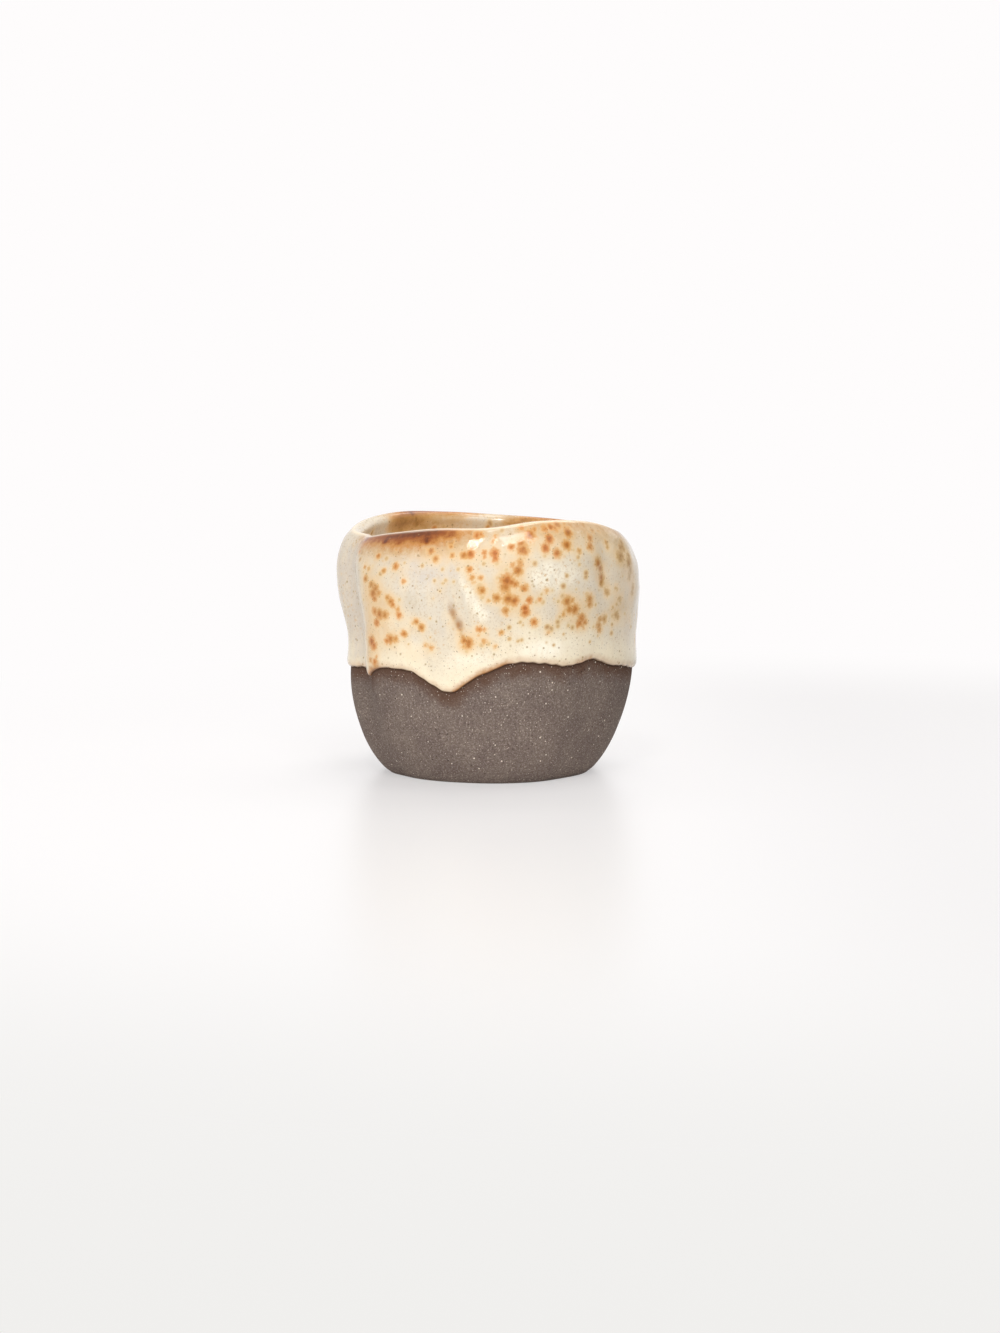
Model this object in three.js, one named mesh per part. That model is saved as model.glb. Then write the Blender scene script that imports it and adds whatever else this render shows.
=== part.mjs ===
// A small pinched stoneware cup without a handle, built as a potter builds it: a thick fired body, the
// glaze it was dipped into upside down, and the liner glaze that was poured inside before that.
// Millimetres, +Z up. The foot stands on Z = 0, with the origin under the middle of the cup.
// Angles are in degrees from +X towards +Y, so 270 is the front.
import * as THREE from 'three';
import { mergeVertices } from 'three/addons/utils/BufferGeometryUtils.js';

// Outline of the cup
const CUP_HEIGHT = 51; // foot to the middle of the rim's rise and fall, glaze included
const FOOT_RADIUS = 20.5;
const BELLY_RADIUS = 29.8;
const BELLY_HEIGHT = 39; // where the wall stands furthest out
const SHOULDER_RADIUS = 27.1; // where the shoulder turns into the crest of the rim
const CREST_RADIUS = 1.3;
const RIM_SWING = 2; // how far the rim rises and falls about its middle height

// Wall, floor and foot of the body
const WALL_AT_BELLY = 3.5;
const WALL_AT_FLOOR = 5;
const RIM_TAPER = 9; // the depth over which the wall thins out to the crest
const FLOOR_THICKNESS = 5.5;
const BOWL_HEIGHT = 15; // from the floor to where the inside wall stands straight
const FOOT_RING_WIDTH = 5.5;
const FOOT_HOLLOW = 0.7; // how far the underside is pressed in, so that the cup doesn't rock

// Finger pinches
const PINCH_DEPTH = 2.8; // the deepest one
const PINCH_REACH = 22; // up and down from the middle of the tallest one
const PINCH_SPREAD_SHARE = 1.5; // on the inside, through the wall, a pinch is wider and shallower by this

// Glazes
const GLAZE_LINE = 22.2; // middle height of the wavy edge of the dipped glaze
const DRIP_SWING = 3; // how far that edge rises and falls
const GLAZE_COAT = 0.6;
const GLAZE_BEAD = 0.8; // thickness of the roll along the wavy edge
const BEAD_LENGTH = 4; // from the wavy edge to where the roll has thinned to the coat
const GLAZE_AT_CREST = 0.35;
const LAP_DEPTH = 4; // how far down inside the rim the dipped glaze reaches
const LINER_COAT = 0.45;
const LINER_POOL = 0.9; // the liner ran down and gathered on the floor

// Steps round the cup
const SEGMENTS = 60;

// The wall below the belly: shares of BELLY_HEIGHT, and of the way from FOOT_RADIUS to BELLY_RADIUS
const lowerWallShares = [
  [0, 0], [0.03, 0.15], [0.1, 0.37], [0.2, 0.58], [0.36, 0.8], [0.54, 0.925], [0.77, 0.955], [1, 1],
];
// The shoulder: shares of the way from BELLY_HEIGHT up to the crest, and in to SHOULDER_RADIUS
const shoulderShares = [[0, 0], [0.44, 0.11], [0.75, 0.44], [0.9, 0.7], [1, 1]];
// Every 22.5 degrees: the rim's height in shares of RIM_SWING, then how far the plan is out of round, in
// shares of the radius, at the rim, the belly and the foot
const rimHeightShares = [
  -1.5, -1.2, -0.55, -0.2, 0.1, 0.4, 0.55, 0.05, -0.8, -1.2, -0.6, -0.05, 0.05, 0.7, 0.55, -0.5,
];
const rimPlanShares = [
  1.012, 1, 0.99, 0.985, 0.98, 0.99, 1.01, 1.04, 1.056, 1.03, 1.01, 0.99, 0.985, 0.995, 1.02, 1.022,
];
const bellyPlanShares = [1.01, 1, 0.99, 0.99, 1, 1, 1.01, 1.015, 1.005, 1, 1.01, 0.995, 1, 1, 0.99, 1.005];
const footPlanShares = [1, 1.02, 1, 0.98, 1, 1.02, 1, 0.99, 1.01, 1.02, 1, 1.01, 1.03, 1.03, 0.99, 1];
// Where the three plans rule, in shares of CUP_HEIGHT
const PLAN_MIDDLE_SHARE = 0.4;

// Each pinch: its angle, its height in shares of CUP_HEIGHT, its depth in shares of PINCH_DEPTH, half its
// width in degrees, its reach in shares of PINCH_REACH, and the degrees it leans over in CUP_HEIGHT.
// A depth below zero is a ridge that a pinch pushed out beside it.
const pinchShares = [
  { angle: 202, height: 0.62, depth: 1, width: 8.5, reach: 1, lean: -15 },
  { angle: 176, height: 0.53, depth: 0.45, width: 18, reach: 0.4, lean: 0 },
  { angle: 319, height: 0.84, depth: 0.25, width: 5, reach: 0.4, lean: 0 },
  { angle: 258, height: 0.62, depth: 0.25, width: 3.5, reach: 0.25, lean: -46 },
  { angle: 241, height: 0.59, depth: 0.16, width: 6, reach: 0.14, lean: 0 },
  { angle: 266, height: 0.75, depth: -0.18, width: 5, reach: 0.32, lean: -46 },
  { angle: 300, height: 0.25, depth: -0.14, width: 9, reach: 0.6, lean: 0 },
  { angle: 322, height: 0.22, depth: 0.16, width: 12, reach: 0.5, lean: 0 },
  { angle: 35, height: 0.55, depth: 0.42, width: 13, reach: 0.55, lean: 12 },
  { angle: 77, height: 0.68, depth: 0.3, width: 9, reach: 0.5, lean: -10 },
  { angle: 119, height: 0.55, depth: 0.5, width: 12, reach: 0.6, lean: 8 },
];

// The wavy edge of the dipped glaze: angle, and height in shares of DRIP_SWING about GLAZE_LINE
const dripShares = [
  [0, -0.2], [20, 0.2], [38, 0.6], [55, 0.33], [72, -0.4], [84, -0.67], [98, -0.13], [112, 0.57],
  [128, 0.8], [144, 0.27], [160, -0.53], [170, -0.47], [180, -0.2], [190, -0.1], [210, 0], [213, -0.37],
  [217, -0.05], [223, 0.3], [229, 0.38], [236, 0.3], [241, 0.03], [247, -0.57], [252, -0.97], [256, -1],
  [260, -0.57], [265, 0], [271, 0.43], [277, 0.83], [284, 0.93], [292, 0.77], [299, 0.58], [305, 0.63],
  [311, 0.8], [315, 0.9], [319, 0.67], [327, 0.33], [336, 0.17], [346, -0.1],
];

// The roll along that edge: shares of BEAD_LENGTH going up, and its thickness there in shares of GLAZE_BEAD
const beadShares = [[0.06, 0.6], [0.2, 0.9], [0.45, 1], [1, 0.85]];

// Rows of points on each other stretch of the section, in shares of that stretch
const footRowShares = [0, 0.4, 0.75, 1];
const bareRowShares = [0, 0.06, 0.13, 0.23, 0.36, 0.51, 0.67, 0.83, 1];
const dippedRowShares = [0.14, 0.3, 0.46, 0.61, 0.74, 0.85, 0.93, 1];
const crestRowShares = [0.2, 0.4, 0.6, 0.8, 1];
const lapRowShares = [0.5, 1];
const linedRowShares = [0.12, 0.28, 0.46, 0.64, 0.82, 1];
const bowlRowShares = [0.2, 0.38, 0.56, 0.76, 1];
const BOWL_SQUARENESS = 2.7; // 2 is an ellipse, more is boxier

const FULL_TURN = 360;
const PLAN_STEP = FULL_TURN / rimPlanShares.length;
const CREST_MIDDLE_HEIGHT = CUP_HEIGHT - GLAZE_AT_CREST - CREST_RADIUS;
const SHOULDER_TOP = CREST_MIDDLE_HEIGHT + CREST_RADIUS * Math.SQRT1_2;
const BOWL_TOP = FLOOR_THICKNESS + BOWL_HEIGHT;
const { lerp, clamp, smoothstep, degToRad, euclideanModulo } = THREE.MathUtils;

// A smooth line through knots of place and value, with the slope at a knot taken from its neighbours
function through(knots, place) {
  const slope = (i) => {
    const [x0, y0] = knots[Math.max(i - 1, 0)];
    const [x1, y1] = knots[Math.min(i + 1, knots.length - 1)];
    return (y1 - y0) / (x1 - x0);
  };
  const at = clamp(place, knots[0][0], knots.at(-1)[0]);
  const i = Math.min(knots.findLastIndex(([x]) => x <= at), knots.length - 2);
  const [x0, y0] = knots[i];
  const [x1, y1] = knots[i + 1];
  const span = x1 - x0;
  const u = (at - x0) / span;
  const rise = (3 - 2 * u) * u * u;
  return lerp(y0, y1, rise) + span * (slope(i) * u * (1 - u) ** 2 - slope(i + 1) * u * u * (1 - u));
}

// The same line round the cup, where the last knot leads back to the first
function round(knots, angle) {
  const before = knots.slice(-2).map(([x, y]) => [x - FULL_TURN, y]);
  const after = knots.slice(0, 2).map(([x, y]) => [x + FULL_TURN, y]);
  return through([...before, ...knots, ...after], euclideanModulo(angle, FULL_TURN));
}

const evenly = (shares) => shares.map((share, i) => [i * PLAN_STEP, share]);
const rimHeightKnots = evenly(rimHeightShares);
const rimPlanKnots = evenly(rimPlanShares);
const bellyPlanKnots = evenly(bellyPlanShares);
const footPlanKnots = evenly(footPlanShares);

function planFactor(angle, height) {
  const share = clamp(height / CUP_HEIGHT, 0, 1);
  const low = 1 - smoothstep(share, 0, PLAN_MIDDLE_SHARE);
  const high = smoothstep(share, PLAN_MIDDLE_SHARE, 1);
  return round(footPlanKnots, angle) * low
    + round(rimPlanKnots, angle) * high
    + round(bellyPlanKnots, angle) * (1 - low - high);
}

function pinchedIn(angle, height, spread = 1) {
  let sum = 0;
  for (const pinch of pinchShares) {
    const above = height - pinch.height * CUP_HEIGHT;
    const middle = pinch.angle + pinch.lean * above / CUP_HEIGHT;
    const aside = euclideanModulo(angle - middle + FULL_TURN / 2, FULL_TURN) - FULL_TURN / 2;
    const fall = (aside / (pinch.width * spread)) ** 2 + (above / (pinch.reach * PINCH_REACH)) ** 2;
    sum += pinch.depth / spread * PINCH_DEPTH * Math.exp(-fall);
  }
  return sum;
}

function roundRadius(height) {
  if (height < BELLY_HEIGHT) {
    return lerp(FOOT_RADIUS, BELLY_RADIUS, through(lowerWallShares, height / BELLY_HEIGHT));
  }
  const share = (height - BELLY_HEIGHT) / (SHOULDER_TOP - BELLY_HEIGHT);
  return lerp(BELLY_RADIUS, SHOULDER_RADIUS, through(shoulderShares, share));
}

// Radius of the body's outer wall, by the height it would have under a level rim
function wallRadius(angle, height, spread) {
  return roundRadius(height) * planFactor(angle, height) - pinchedIn(angle, height, spread);
}

// A point of the body, raised or lowered with the rim: most of all near it, and nothing at the floor
function point(angle, radius, height) {
  const share = Math.max(height - FLOOR_THICKNESS, 0) / (CUP_HEIGHT - FLOOR_THICKNESS);
  const swing = RIM_SWING * round(rimHeightKnots, angle) * share ** 3;
  const turn = degToRad(angle);
  return new THREE.Vector3(radius * Math.cos(turn), radius * Math.sin(turn), height + swing);
}

// A point of the section and the thickness of the glaze over it
const station = (position, glaze = 0) => ({ position, glaze });
const outside = (angle, height, glaze) => station(point(angle, wallRadius(angle, height), height), glaze);
const inside = (angle, height, glaze) => station(point(angle, insideRadius(angle, height), height), glaze);

// From the middle of the underside to the edge of the foot
function footRows(angle) {
  const ringInside = wallRadius(angle, 0) - FOOT_RING_WIDTH;
  return footRowShares.map((share) => {
    const rise = FOOT_HOLLOW * (1 - smoothstep(share, 0, 1));
    return station(point(angle, ringInside * share, rise));
  });
}

// The bare wall, up to the wavy edge of the glaze
function bareRows(angle) {
  const top = dripHeight(angle);
  return bareRowShares.map((share) => outside(angle, share * top));
}

function dripHeight(angle) {
  return GLAZE_LINE + DRIP_SWING * round(dripShares, angle);
}

// The roll along the wavy edge, and then the dipped wall up to the crest
function dippedRows(angle) {
  const edge = dripHeight(angle);
  const bead = beadShares.map(([share, thickness]) => {
    return outside(angle, edge + share * BEAD_LENGTH, GLAZE_BEAD * thickness);
  });
  const wall = dippedRowShares.map((share) => {
    const coat = lerp(GLAZE_COAT, GLAZE_AT_CREST, share ** 4);
    return outside(angle, lerp(edge + BEAD_LENGTH, SHOULDER_TOP, share), coat);
  });
  return [...bead, ...wall];
}

// The crest: an arc that leaves the shoulder smoothly and ends upright on the inside
function crest(angle) {
  const shoulder = wallRadius(angle, SHOULDER_TOP);
  const below = SHOULDER_TOP - CREST_RADIUS;
  const lean = Math.atan2(wallRadius(angle, below) - shoulder, CREST_RADIUS);
  return {
    lean,
    radius: shoulder - CREST_RADIUS * Math.cos(lean),
    height: SHOULDER_TOP - CREST_RADIUS * Math.sin(lean),
  };
}

function crestRows(angle) {
  const { lean, radius, height } = crest(angle);
  return crestRowShares.map((share) => {
    const turn = lerp(lean, Math.PI, share);
    const across = radius + CREST_RADIUS * Math.cos(turn);
    const up = height + CREST_RADIUS * Math.sin(turn);
    return station(point(angle, across, up), GLAZE_AT_CREST);
  });
}

// Radius of the inside wall above the bowl: the outer wall less a thickness that grows downwards
function insideRadius(angle, height) {
  const top = crest(angle);
  const crestInside = top.radius - CREST_RADIUS;
  const thicknessAtTop = wallRadius(angle, top.height, PINCH_SPREAD_SHARE) - crestInside;
  const thicknessBelow = lerp(WALL_AT_FLOOR, WALL_AT_BELLY, smoothstep(height, BOWL_TOP / 2, BELLY_HEIGHT));
  const thinning = smoothstep(height, top.height - RIM_TAPER, top.height);
  return wallRadius(angle, height, PINCH_SPREAD_SHARE) - lerp(thicknessBelow, thicknessAtTop, thinning);
}

// The dipped glaze's last stretch, down inside the rim
function lapRows(angle) {
  const top = crest(angle).height;
  return lapRowShares.map((share) => {
    return inside(angle, top - share * LAP_DEPTH, lerp(GLAZE_AT_CREST, LINER_COAT, share));
  });
}

// The inside below that, down the wall and round the bowl to the middle of the floor
function linedRows(angle) {
  const top = crest(angle).height - LAP_DEPTH;
  const wall = linedRowShares.map((share) => inside(angle, lerp(top, BOWL_TOP, share), LINER_COAT));
  const bowl = bowlRowShares.map((share) => {
    const turn = (1 - share) * Math.PI / 2;
    const across = Math.sin(turn) ** (2 / BOWL_SQUARENESS);
    const sunk = Math.cos(turn) ** (2 / BOWL_SQUARENESS);
    const height = BOWL_TOP - BOWL_HEIGHT * sunk;
    const position = point(angle, insideRadius(angle, height) * across, height);
    return station(position, lerp(LINER_COAT, LINER_POOL, sunk));
  });
  return [...wall, ...bowl];
}

// The body's whole section at each step round the cup, from the middle of the underside to the middle of
// the floor. Both glazes lie on stretches of it.
const sections = Array.from({ length: SEGMENTS }, (_, i) => {
  const angle = i * FULL_TURN / SEGMENTS;
  return [footRows, bareRows, dippedRows, crestRows, lapRows, linedRows].flatMap((rows) => rows(angle));
});
const EDGE_ROW = footRowShares.length + bareRowShares.length - 1;
const SHOULDER_ROW = EDGE_ROW + beadShares.length + dippedRowShares.length;
const LAP_ROW = SHOULDER_ROW + crestRowShares.length + lapRowShares.length;
const LAST_ROW = LAP_ROW + linedRowShares.length + bowlRowShares.length;

// The glaze's face over each station, set off along the body's outward direction there
function outwards(column, row) {
  if (row === LAST_ROW) return new THREE.Vector3(0, 0, 1);
  const before = sections[(column + SEGMENTS - 1) % SEGMENTS][row].position;
  const after = sections[(column + 1) % SEGMENTS][row].position;
  const behind = sections[column][row - 1].position;
  const ahead = sections[column][row + 1].position;
  const across = new THREE.Vector3().subVectors(after, before);
  return across.cross(new THREE.Vector3().subVectors(ahead, behind)).normalize();
}

function glazeFace(column, row) {
  const { position, glaze } = sections[column][row];
  return position.clone().addScaledVector(outwards(column, row), glaze);
}

const bodyFace = (column, row) => sections[column][row].position;

// Triangles between two rows of points all round the cup, left out where they shrink to nothing
class Surface {
  constructor() {
    this.corners = [];
  }

  triangle(a, b, c) {
    if (a.equals(b) || b.equals(c) || c.equals(a)) return;
    this.corners.push(a, b, c);
  }

  band(face, lowRow, highFace, highRow, turned = false) {
    for (let column = 0; column < SEGMENTS; column += 1) {
      const next = (column + 1) % SEGMENTS;
      const low = face(column, lowRow);
      const lowNext = face(next, lowRow);
      const high = highFace(column, highRow);
      const highNext = highFace(next, highRow);
      if (turned) {
        this.triangle(low, highNext, lowNext);
        this.triangle(low, high, highNext);
      } else {
        this.triangle(low, lowNext, highNext);
        this.triangle(low, highNext, high);
      }
    }
  }

  stretch(face, firstRow, lastRow, turned) {
    for (let row = firstRow; row < lastRow; row += 1) this.band(face, row, face, row + 1, turned);
  }

  geometry() {
    const geometry = new THREE.BufferGeometry().setFromPoints(this.corners);
    const merged = mergeVertices(geometry);
    merged.computeVertexNormals();
    return merged;
  }
}

function clayBody() {
  const surface = new Surface();
  surface.stretch(bodyFace, 0, LAST_ROW);
  return surface.geometry();
}

// From the wavy edge, where it thins to nothing on the body, to its square end inside the rim
function outerGlaze() {
  const surface = new Surface();
  surface.stretch(bodyFace, EDGE_ROW, LAP_ROW, true);
  surface.stretch(glazeFace, EDGE_ROW, LAP_ROW);
  surface.band(glazeFace, LAP_ROW, bodyFace, LAP_ROW);
  return surface.geometry();
}

// From that square end, which it meets face to face, to the middle of the floor
function linerGlaze() {
  const surface = new Surface();
  surface.stretch(bodyFace, LAP_ROW, LAST_ROW, true);
  surface.band(glazeFace, LAP_ROW, bodyFace, LAP_ROW, true);
  surface.stretch(glazeFace, LAP_ROW, LAST_ROW);
  return surface.geometry();
}

const stoneware = new THREE.MeshStandardMaterial({ color: 0x7f7068, roughness: 0.85, metalness: 0 });
const creamGlaze = new THREE.MeshStandardMaterial({ color: 0xefe2c8, roughness: 0.18, metalness: 0 });
const ochreGlaze = new THREE.MeshStandardMaterial({ color: 0xe2c9a0, roughness: 0.15, metalness: 0 });

const cup = new THREE.Group();

function add(name, geometry, material) {
  const mesh = new THREE.Mesh(geometry, material);
  mesh.name = name;
  cup.add(mesh);
}

add('clay_body', clayBody(), stoneware);
add('outer_glaze', outerGlaze(), creamGlaze);
add('liner_glaze', linerGlaze(), ochreGlaze);

// The origin lies under the middle of the cup's box, which leans a little off the axis of its foot
const middle = new THREE.Box3().setFromObject(cup).getCenter(new THREE.Vector3());
cup.position.set(-middle.x, -middle.y, 0);

export default cup;
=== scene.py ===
"""The looks of a small pinched stoneware cup: its clay, its two glazes, and the studio round it.

Metres, +Z up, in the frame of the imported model. Angles are in degrees from +X towards +Y, so 270 is the
front. A height is the one that a point of the wall would have under a level rim.
"""

import math

import bpy
import numpy as np
from mathutils import Euler, Matrix


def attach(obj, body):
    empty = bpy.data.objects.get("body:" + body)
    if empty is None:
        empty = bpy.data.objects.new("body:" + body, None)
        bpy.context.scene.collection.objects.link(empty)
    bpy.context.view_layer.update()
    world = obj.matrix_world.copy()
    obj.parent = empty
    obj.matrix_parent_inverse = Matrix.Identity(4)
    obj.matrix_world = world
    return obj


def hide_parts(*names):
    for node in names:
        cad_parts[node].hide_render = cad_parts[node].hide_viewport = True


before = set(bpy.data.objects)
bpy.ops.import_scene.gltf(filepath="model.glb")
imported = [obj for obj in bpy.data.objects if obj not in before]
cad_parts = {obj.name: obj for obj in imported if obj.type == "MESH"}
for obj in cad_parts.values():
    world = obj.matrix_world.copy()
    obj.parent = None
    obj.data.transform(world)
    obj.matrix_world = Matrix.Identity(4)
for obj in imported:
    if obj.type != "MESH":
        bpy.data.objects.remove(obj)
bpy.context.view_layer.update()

MM = 0.001
FULL_TURN = 360

# Outline of the cup, as in the CAD source
CUP_HEIGHT = 51 * MM
FOOT_RADIUS = 20.5 * MM
BELLY_RADIUS = 29.8 * MM
BELLY_HEIGHT = 39 * MM
SHOULDER_RADIUS = 27.1 * MM
CREST_RADIUS = 1.3 * MM
RIM_SWING = 2 * MM
SWING_STEEPNESS = 3  # how suddenly the rim's rise and fall dies out below
WALL_AT_BELLY = 3.5 * MM
WALL_AT_FLOOR = 5 * MM
RIM_TAPER = 9 * MM
FLOOR_THICKNESS = 5.5 * MM
BOWL_HEIGHT = 15 * MM
BOWL_SQUARENESS = 2.7
FOOT_RING_WIDTH = 5.5 * MM
FOOT_HOLLOW = 0.7 * MM
PINCH_DEPTH = 2.8 * MM
PINCH_REACH = 22 * MM
PINCH_SPREAD_SHARE = 1.5
PLAN_MIDDLE_SHARE = 0.4
AXIS_X = 0.399 * MM  # the foot's axis, seen from the origin under the middle of the whole cup
AXIS_Y = 0.214 * MM

# Glazes
GLAZE_LINE = 22.2 * MM
DRIP_SWING = 3 * MM
GLAZE_COAT = 0.6 * MM
GLAZE_BEAD = 0.8 * MM
BEAD_LENGTH = 4 * MM
BEAD_ROUND = 1.8 * MM  # from the wavy edge to where the roll is thickest
BEAD_SQUARENESS = 2.5
BEAD_EASED = 8 * MM  # from the wavy edge to where the roll has eased off
THINNING_STEEPNESS = 4  # how suddenly the coat thins below the crest
GLAZE_AT_CREST = 0.35 * MM
LAP_DEPTH = 4 * MM
LINER_COAT = 0.45 * MM
LINER_POOL = 0.9 * MM

LOWER_WALL_SHARES = (
    (0, 0), (0.03, 0.15), (0.1, 0.37), (0.2, 0.58), (0.36, 0.8), (0.54, 0.925), (0.77, 0.955), (1, 1),
)
SHOULDER_SHARES = ((0, 0), (0.44, 0.11), (0.75, 0.44), (0.9, 0.7), (1, 1))
RIM_HEIGHT_SHARES = (
    -1.5, -1.2, -0.55, -0.2, 0.1, 0.4, 0.55, 0.05, -0.8, -1.2, -0.6, -0.05, 0.05, 0.7, 0.55, -0.5,
)
RIM_PLAN_SHARES = (
    1.012, 1, 0.99, 0.985, 0.98, 0.99, 1.01, 1.04, 1.056, 1.03, 1.01, 0.99, 0.985, 0.995, 1.02, 1.022,
)
BELLY_PLAN_SHARES = (
    1.01, 1, 0.99, 0.99, 1, 1, 1.01, 1.015, 1.005, 1, 1.01, 0.995, 1, 1, 0.99, 1.005,
)
FOOT_PLAN_SHARES = (
    1, 1.02, 1, 0.98, 1, 1.02, 1, 0.99, 1.01, 1.02, 1, 1.01, 1.03, 1.03, 0.99, 1,
)
# Each pinch: angle, height and depth in shares, half its width in degrees, reach in shares, lean in degrees
PINCHES = (
    (202, 0.62, 1, 8.5, 1, -15), (176, 0.53, 0.45, 18, 0.4, 0), (319, 0.84, 0.25, 5, 0.4, 0),
    (258, 0.62, 0.25, 3.5, 0.25, -46), (241, 0.59, 0.16, 6, 0.14, 0), (266, 0.75, -0.18, 5, 0.32, -46),
    (300, 0.25, -0.14, 9, 0.6, 0), (322, 0.22, 0.16, 12, 0.5, 0), (35, 0.55, 0.42, 13, 0.55, 12),
    (77, 0.68, 0.3, 9, 0.5, -10), (119, 0.55, 0.5, 12, 0.6, 8),
)
DRIP_SHARES = (
    (0, -0.2), (20, 0.2), (38, 0.6), (55, 0.33), (72, -0.4), (84, -0.67), (98, -0.13), (112, 0.57),
    (128, 0.8), (144, 0.27), (160, -0.53), (170, -0.47), (180, -0.2), (190, -0.1), (210, 0), (213, -0.37),
    (217, -0.05), (223, 0.3), (229, 0.38), (236, 0.3), (241, 0.03), (247, -0.57), (252, -0.97), (256, -1),
    (260, -0.57), (265, 0), (271, 0.43), (277, 0.83), (284, 0.93), (292, 0.77), (299, 0.58), (305, 0.63),
    (311, 0.8), (315, 0.9), (319, 0.67), (327, 0.33), (336, 0.17), (346, -0.1),
)

# The hand's unevenness on top of that outline
HAND_WAVE = 0.07 * MM
GLAZE_WAVE = 0.035 * MM
EDGE_RAGGED = 0.05 * MM
# The pattern of each: how many waves, the most round the cup, and the shortest and longest upwards
HAND_PATTERN = (18, 9, 12 * MM, 50 * MM)
GLAZE_PATTERN = (40, 30, 5 * MM, 22 * MM)
EDGE_PATTERN = (14, 90, 1, 2)
SEED = 7

# Steps of the meshes
COLUMNS = 600
FOOT_ROWS = 12
BARE_ROWS = 88
BARE_EVENNESS = 0.65  # the even share of the bare rows' spacing, and the rest grows upwards
HIDDEN_WALL_ROWS = 15
HIDDEN_CREST_ROWS = 8
BEAD_ROWS = 12
DIPPED_ROWS = 92
CREST_ROWS = 14
LAP_ROWS = 8
LINED_ROWS = 62
BOWL_ROWS = 48
HIDDEN_LINED_ROWS = 11
HIDDEN_BOWL_ROWS = 10
HIDDEN_LAP_ROWS = 2
SHARP_ANGLE = 60

CREST_MIDDLE_HEIGHT = CUP_HEIGHT - GLAZE_AT_CREST - CREST_RADIUS
SHOULDER_TOP = CREST_MIDDLE_HEIGHT + CREST_RADIUS * math.sqrt(0.5)
BOWL_TOP = FLOOR_THICKNESS + BOWL_HEIGHT
BOWL_MIDDLE = BOWL_TOP / 2


# Curves and blends

def through(knots, place):
    """A smooth line through knots of place and value, with slopes taken from the neighbours."""
    x, y = np.array(knots, float).T
    slope = np.empty_like(y)
    slope[1:-1] = (y[2:] - y[:-2]) / (x[2:] - x[:-2])
    slope[0] = (y[1] - y[0]) / (x[1] - x[0])
    slope[-1] = (y[-1] - y[-2]) / (x[-1] - x[-2])
    at = np.clip(place, x[0], x[-1])
    i = np.clip(np.searchsorted(x, at, side="right") - 1, 0, len(x) - 2)
    span = x[i + 1] - x[i]
    u = (at - x[i]) / span
    rise = (3 - 2 * u) * u * u
    bend = slope[i] * u * (1 - u) ** 2 - slope[i + 1] * u * u * (1 - u)
    return y[i] + (y[i + 1] - y[i]) * rise + span * bend


def around(knots, angle):
    """The same line round the cup, where the last knot leads back to the first."""
    before = [(x - FULL_TURN, y) for x, y in knots[-2:]]
    after = [(x + FULL_TURN, y) for x, y in knots[:2]]
    return through([*before, *knots, *after], np.mod(angle, FULL_TURN))


def evenly(shares):
    return [(i * FULL_TURN / len(shares), share) for i, share in enumerate(shares)]


def smoothstep(x, low, high):
    t = np.clip((x - low) / (high - low), 0, 1)
    return t * t * (3 - 2 * t)


def lerp(a, b, t):
    return a + (b - a) * t


def angle_between(angle, other):
    return np.mod(angle - other + FULL_TURN / 2, FULL_TURN) - FULL_TURN / 2


class Waves:
    """A smooth random unevenness over angle and height, about one high, the same in each run."""

    def __init__(self, seed, count, most_waves, shortest, longest):
        rng = np.random.default_rng(seed)
        self.turns = rng.integers(-most_waves, most_waves + 1, count)
        self.pitch = 2 * np.pi / rng.uniform(shortest, longest, count)
        self.start = rng.uniform(0, 2 * np.pi, count)
        self.size = math.sqrt(2 / count)

    def at(self, angle, height):
        total = 0
        for turns, pitch, start in zip(self.turns, self.pitch, self.start):
            total = total + np.sin(np.radians(angle) * turns + height * pitch + start)
        return total * self.size


hand_waves = Waves(SEED, *HAND_PATTERN)
glaze_waves = Waves(SEED + 1, *GLAZE_PATTERN)
edge_waves = Waves(SEED + 2, *EDGE_PATTERN)


# Shape of the clay

def plan_factor(angle, height):
    share = np.clip(height / CUP_HEIGHT, 0, 1)
    low = 1 - smoothstep(share, 0, PLAN_MIDDLE_SHARE)
    high = smoothstep(share, PLAN_MIDDLE_SHARE, 1)
    return (
        around(evenly(FOOT_PLAN_SHARES), angle) * low
        + around(evenly(RIM_PLAN_SHARES), angle) * high
        + around(evenly(BELLY_PLAN_SHARES), angle) * (1 - low - high)
    )


def pinched_in(angle, height, spread):
    total = 0
    for middle, at, depth, width, reach, lean in PINCHES:
        above = height - at * CUP_HEIGHT
        aside = angle_between(angle, middle + lean * above / CUP_HEIGHT)
        fall = (aside / (width * spread)) ** 2 + (above / (reach * PINCH_REACH)) ** 2
        total = total + depth / spread * PINCH_DEPTH * np.exp(-fall)
    return total


def round_radius(height):
    low = lerp(FOOT_RADIUS, BELLY_RADIUS, through(LOWER_WALL_SHARES, height / BELLY_HEIGHT))
    share = (height - BELLY_HEIGHT) / (SHOULDER_TOP - BELLY_HEIGHT)
    high = lerp(BELLY_RADIUS, SHOULDER_RADIUS, through(SHOULDER_SHARES, share))
    return np.where(height < BELLY_HEIGHT, low, high)


def wall_radius(angle, height, spread=1.0):
    uneven = HAND_WAVE * hand_waves.at(angle, height)
    return round_radius(height) * plan_factor(angle, height) - pinched_in(angle, height, spread) + uneven


def point(angle, radius, height):
    """A point of the body, raised or lowered with the rim, most of all near it."""
    share = np.maximum(height - FLOOR_THICKNESS, 0) / (CUP_HEIGHT - FLOOR_THICKNESS)
    z = height + RIM_SWING * around(evenly(RIM_HEIGHT_SHARES), angle) * share ** SWING_STEEPNESS
    turn = np.radians(angle)
    x = radius * np.cos(turn) + AXIS_X
    y = radius * np.sin(turn) + AXIS_Y
    return np.stack(np.broadcast_arrays(x, y, z), -1)


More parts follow.
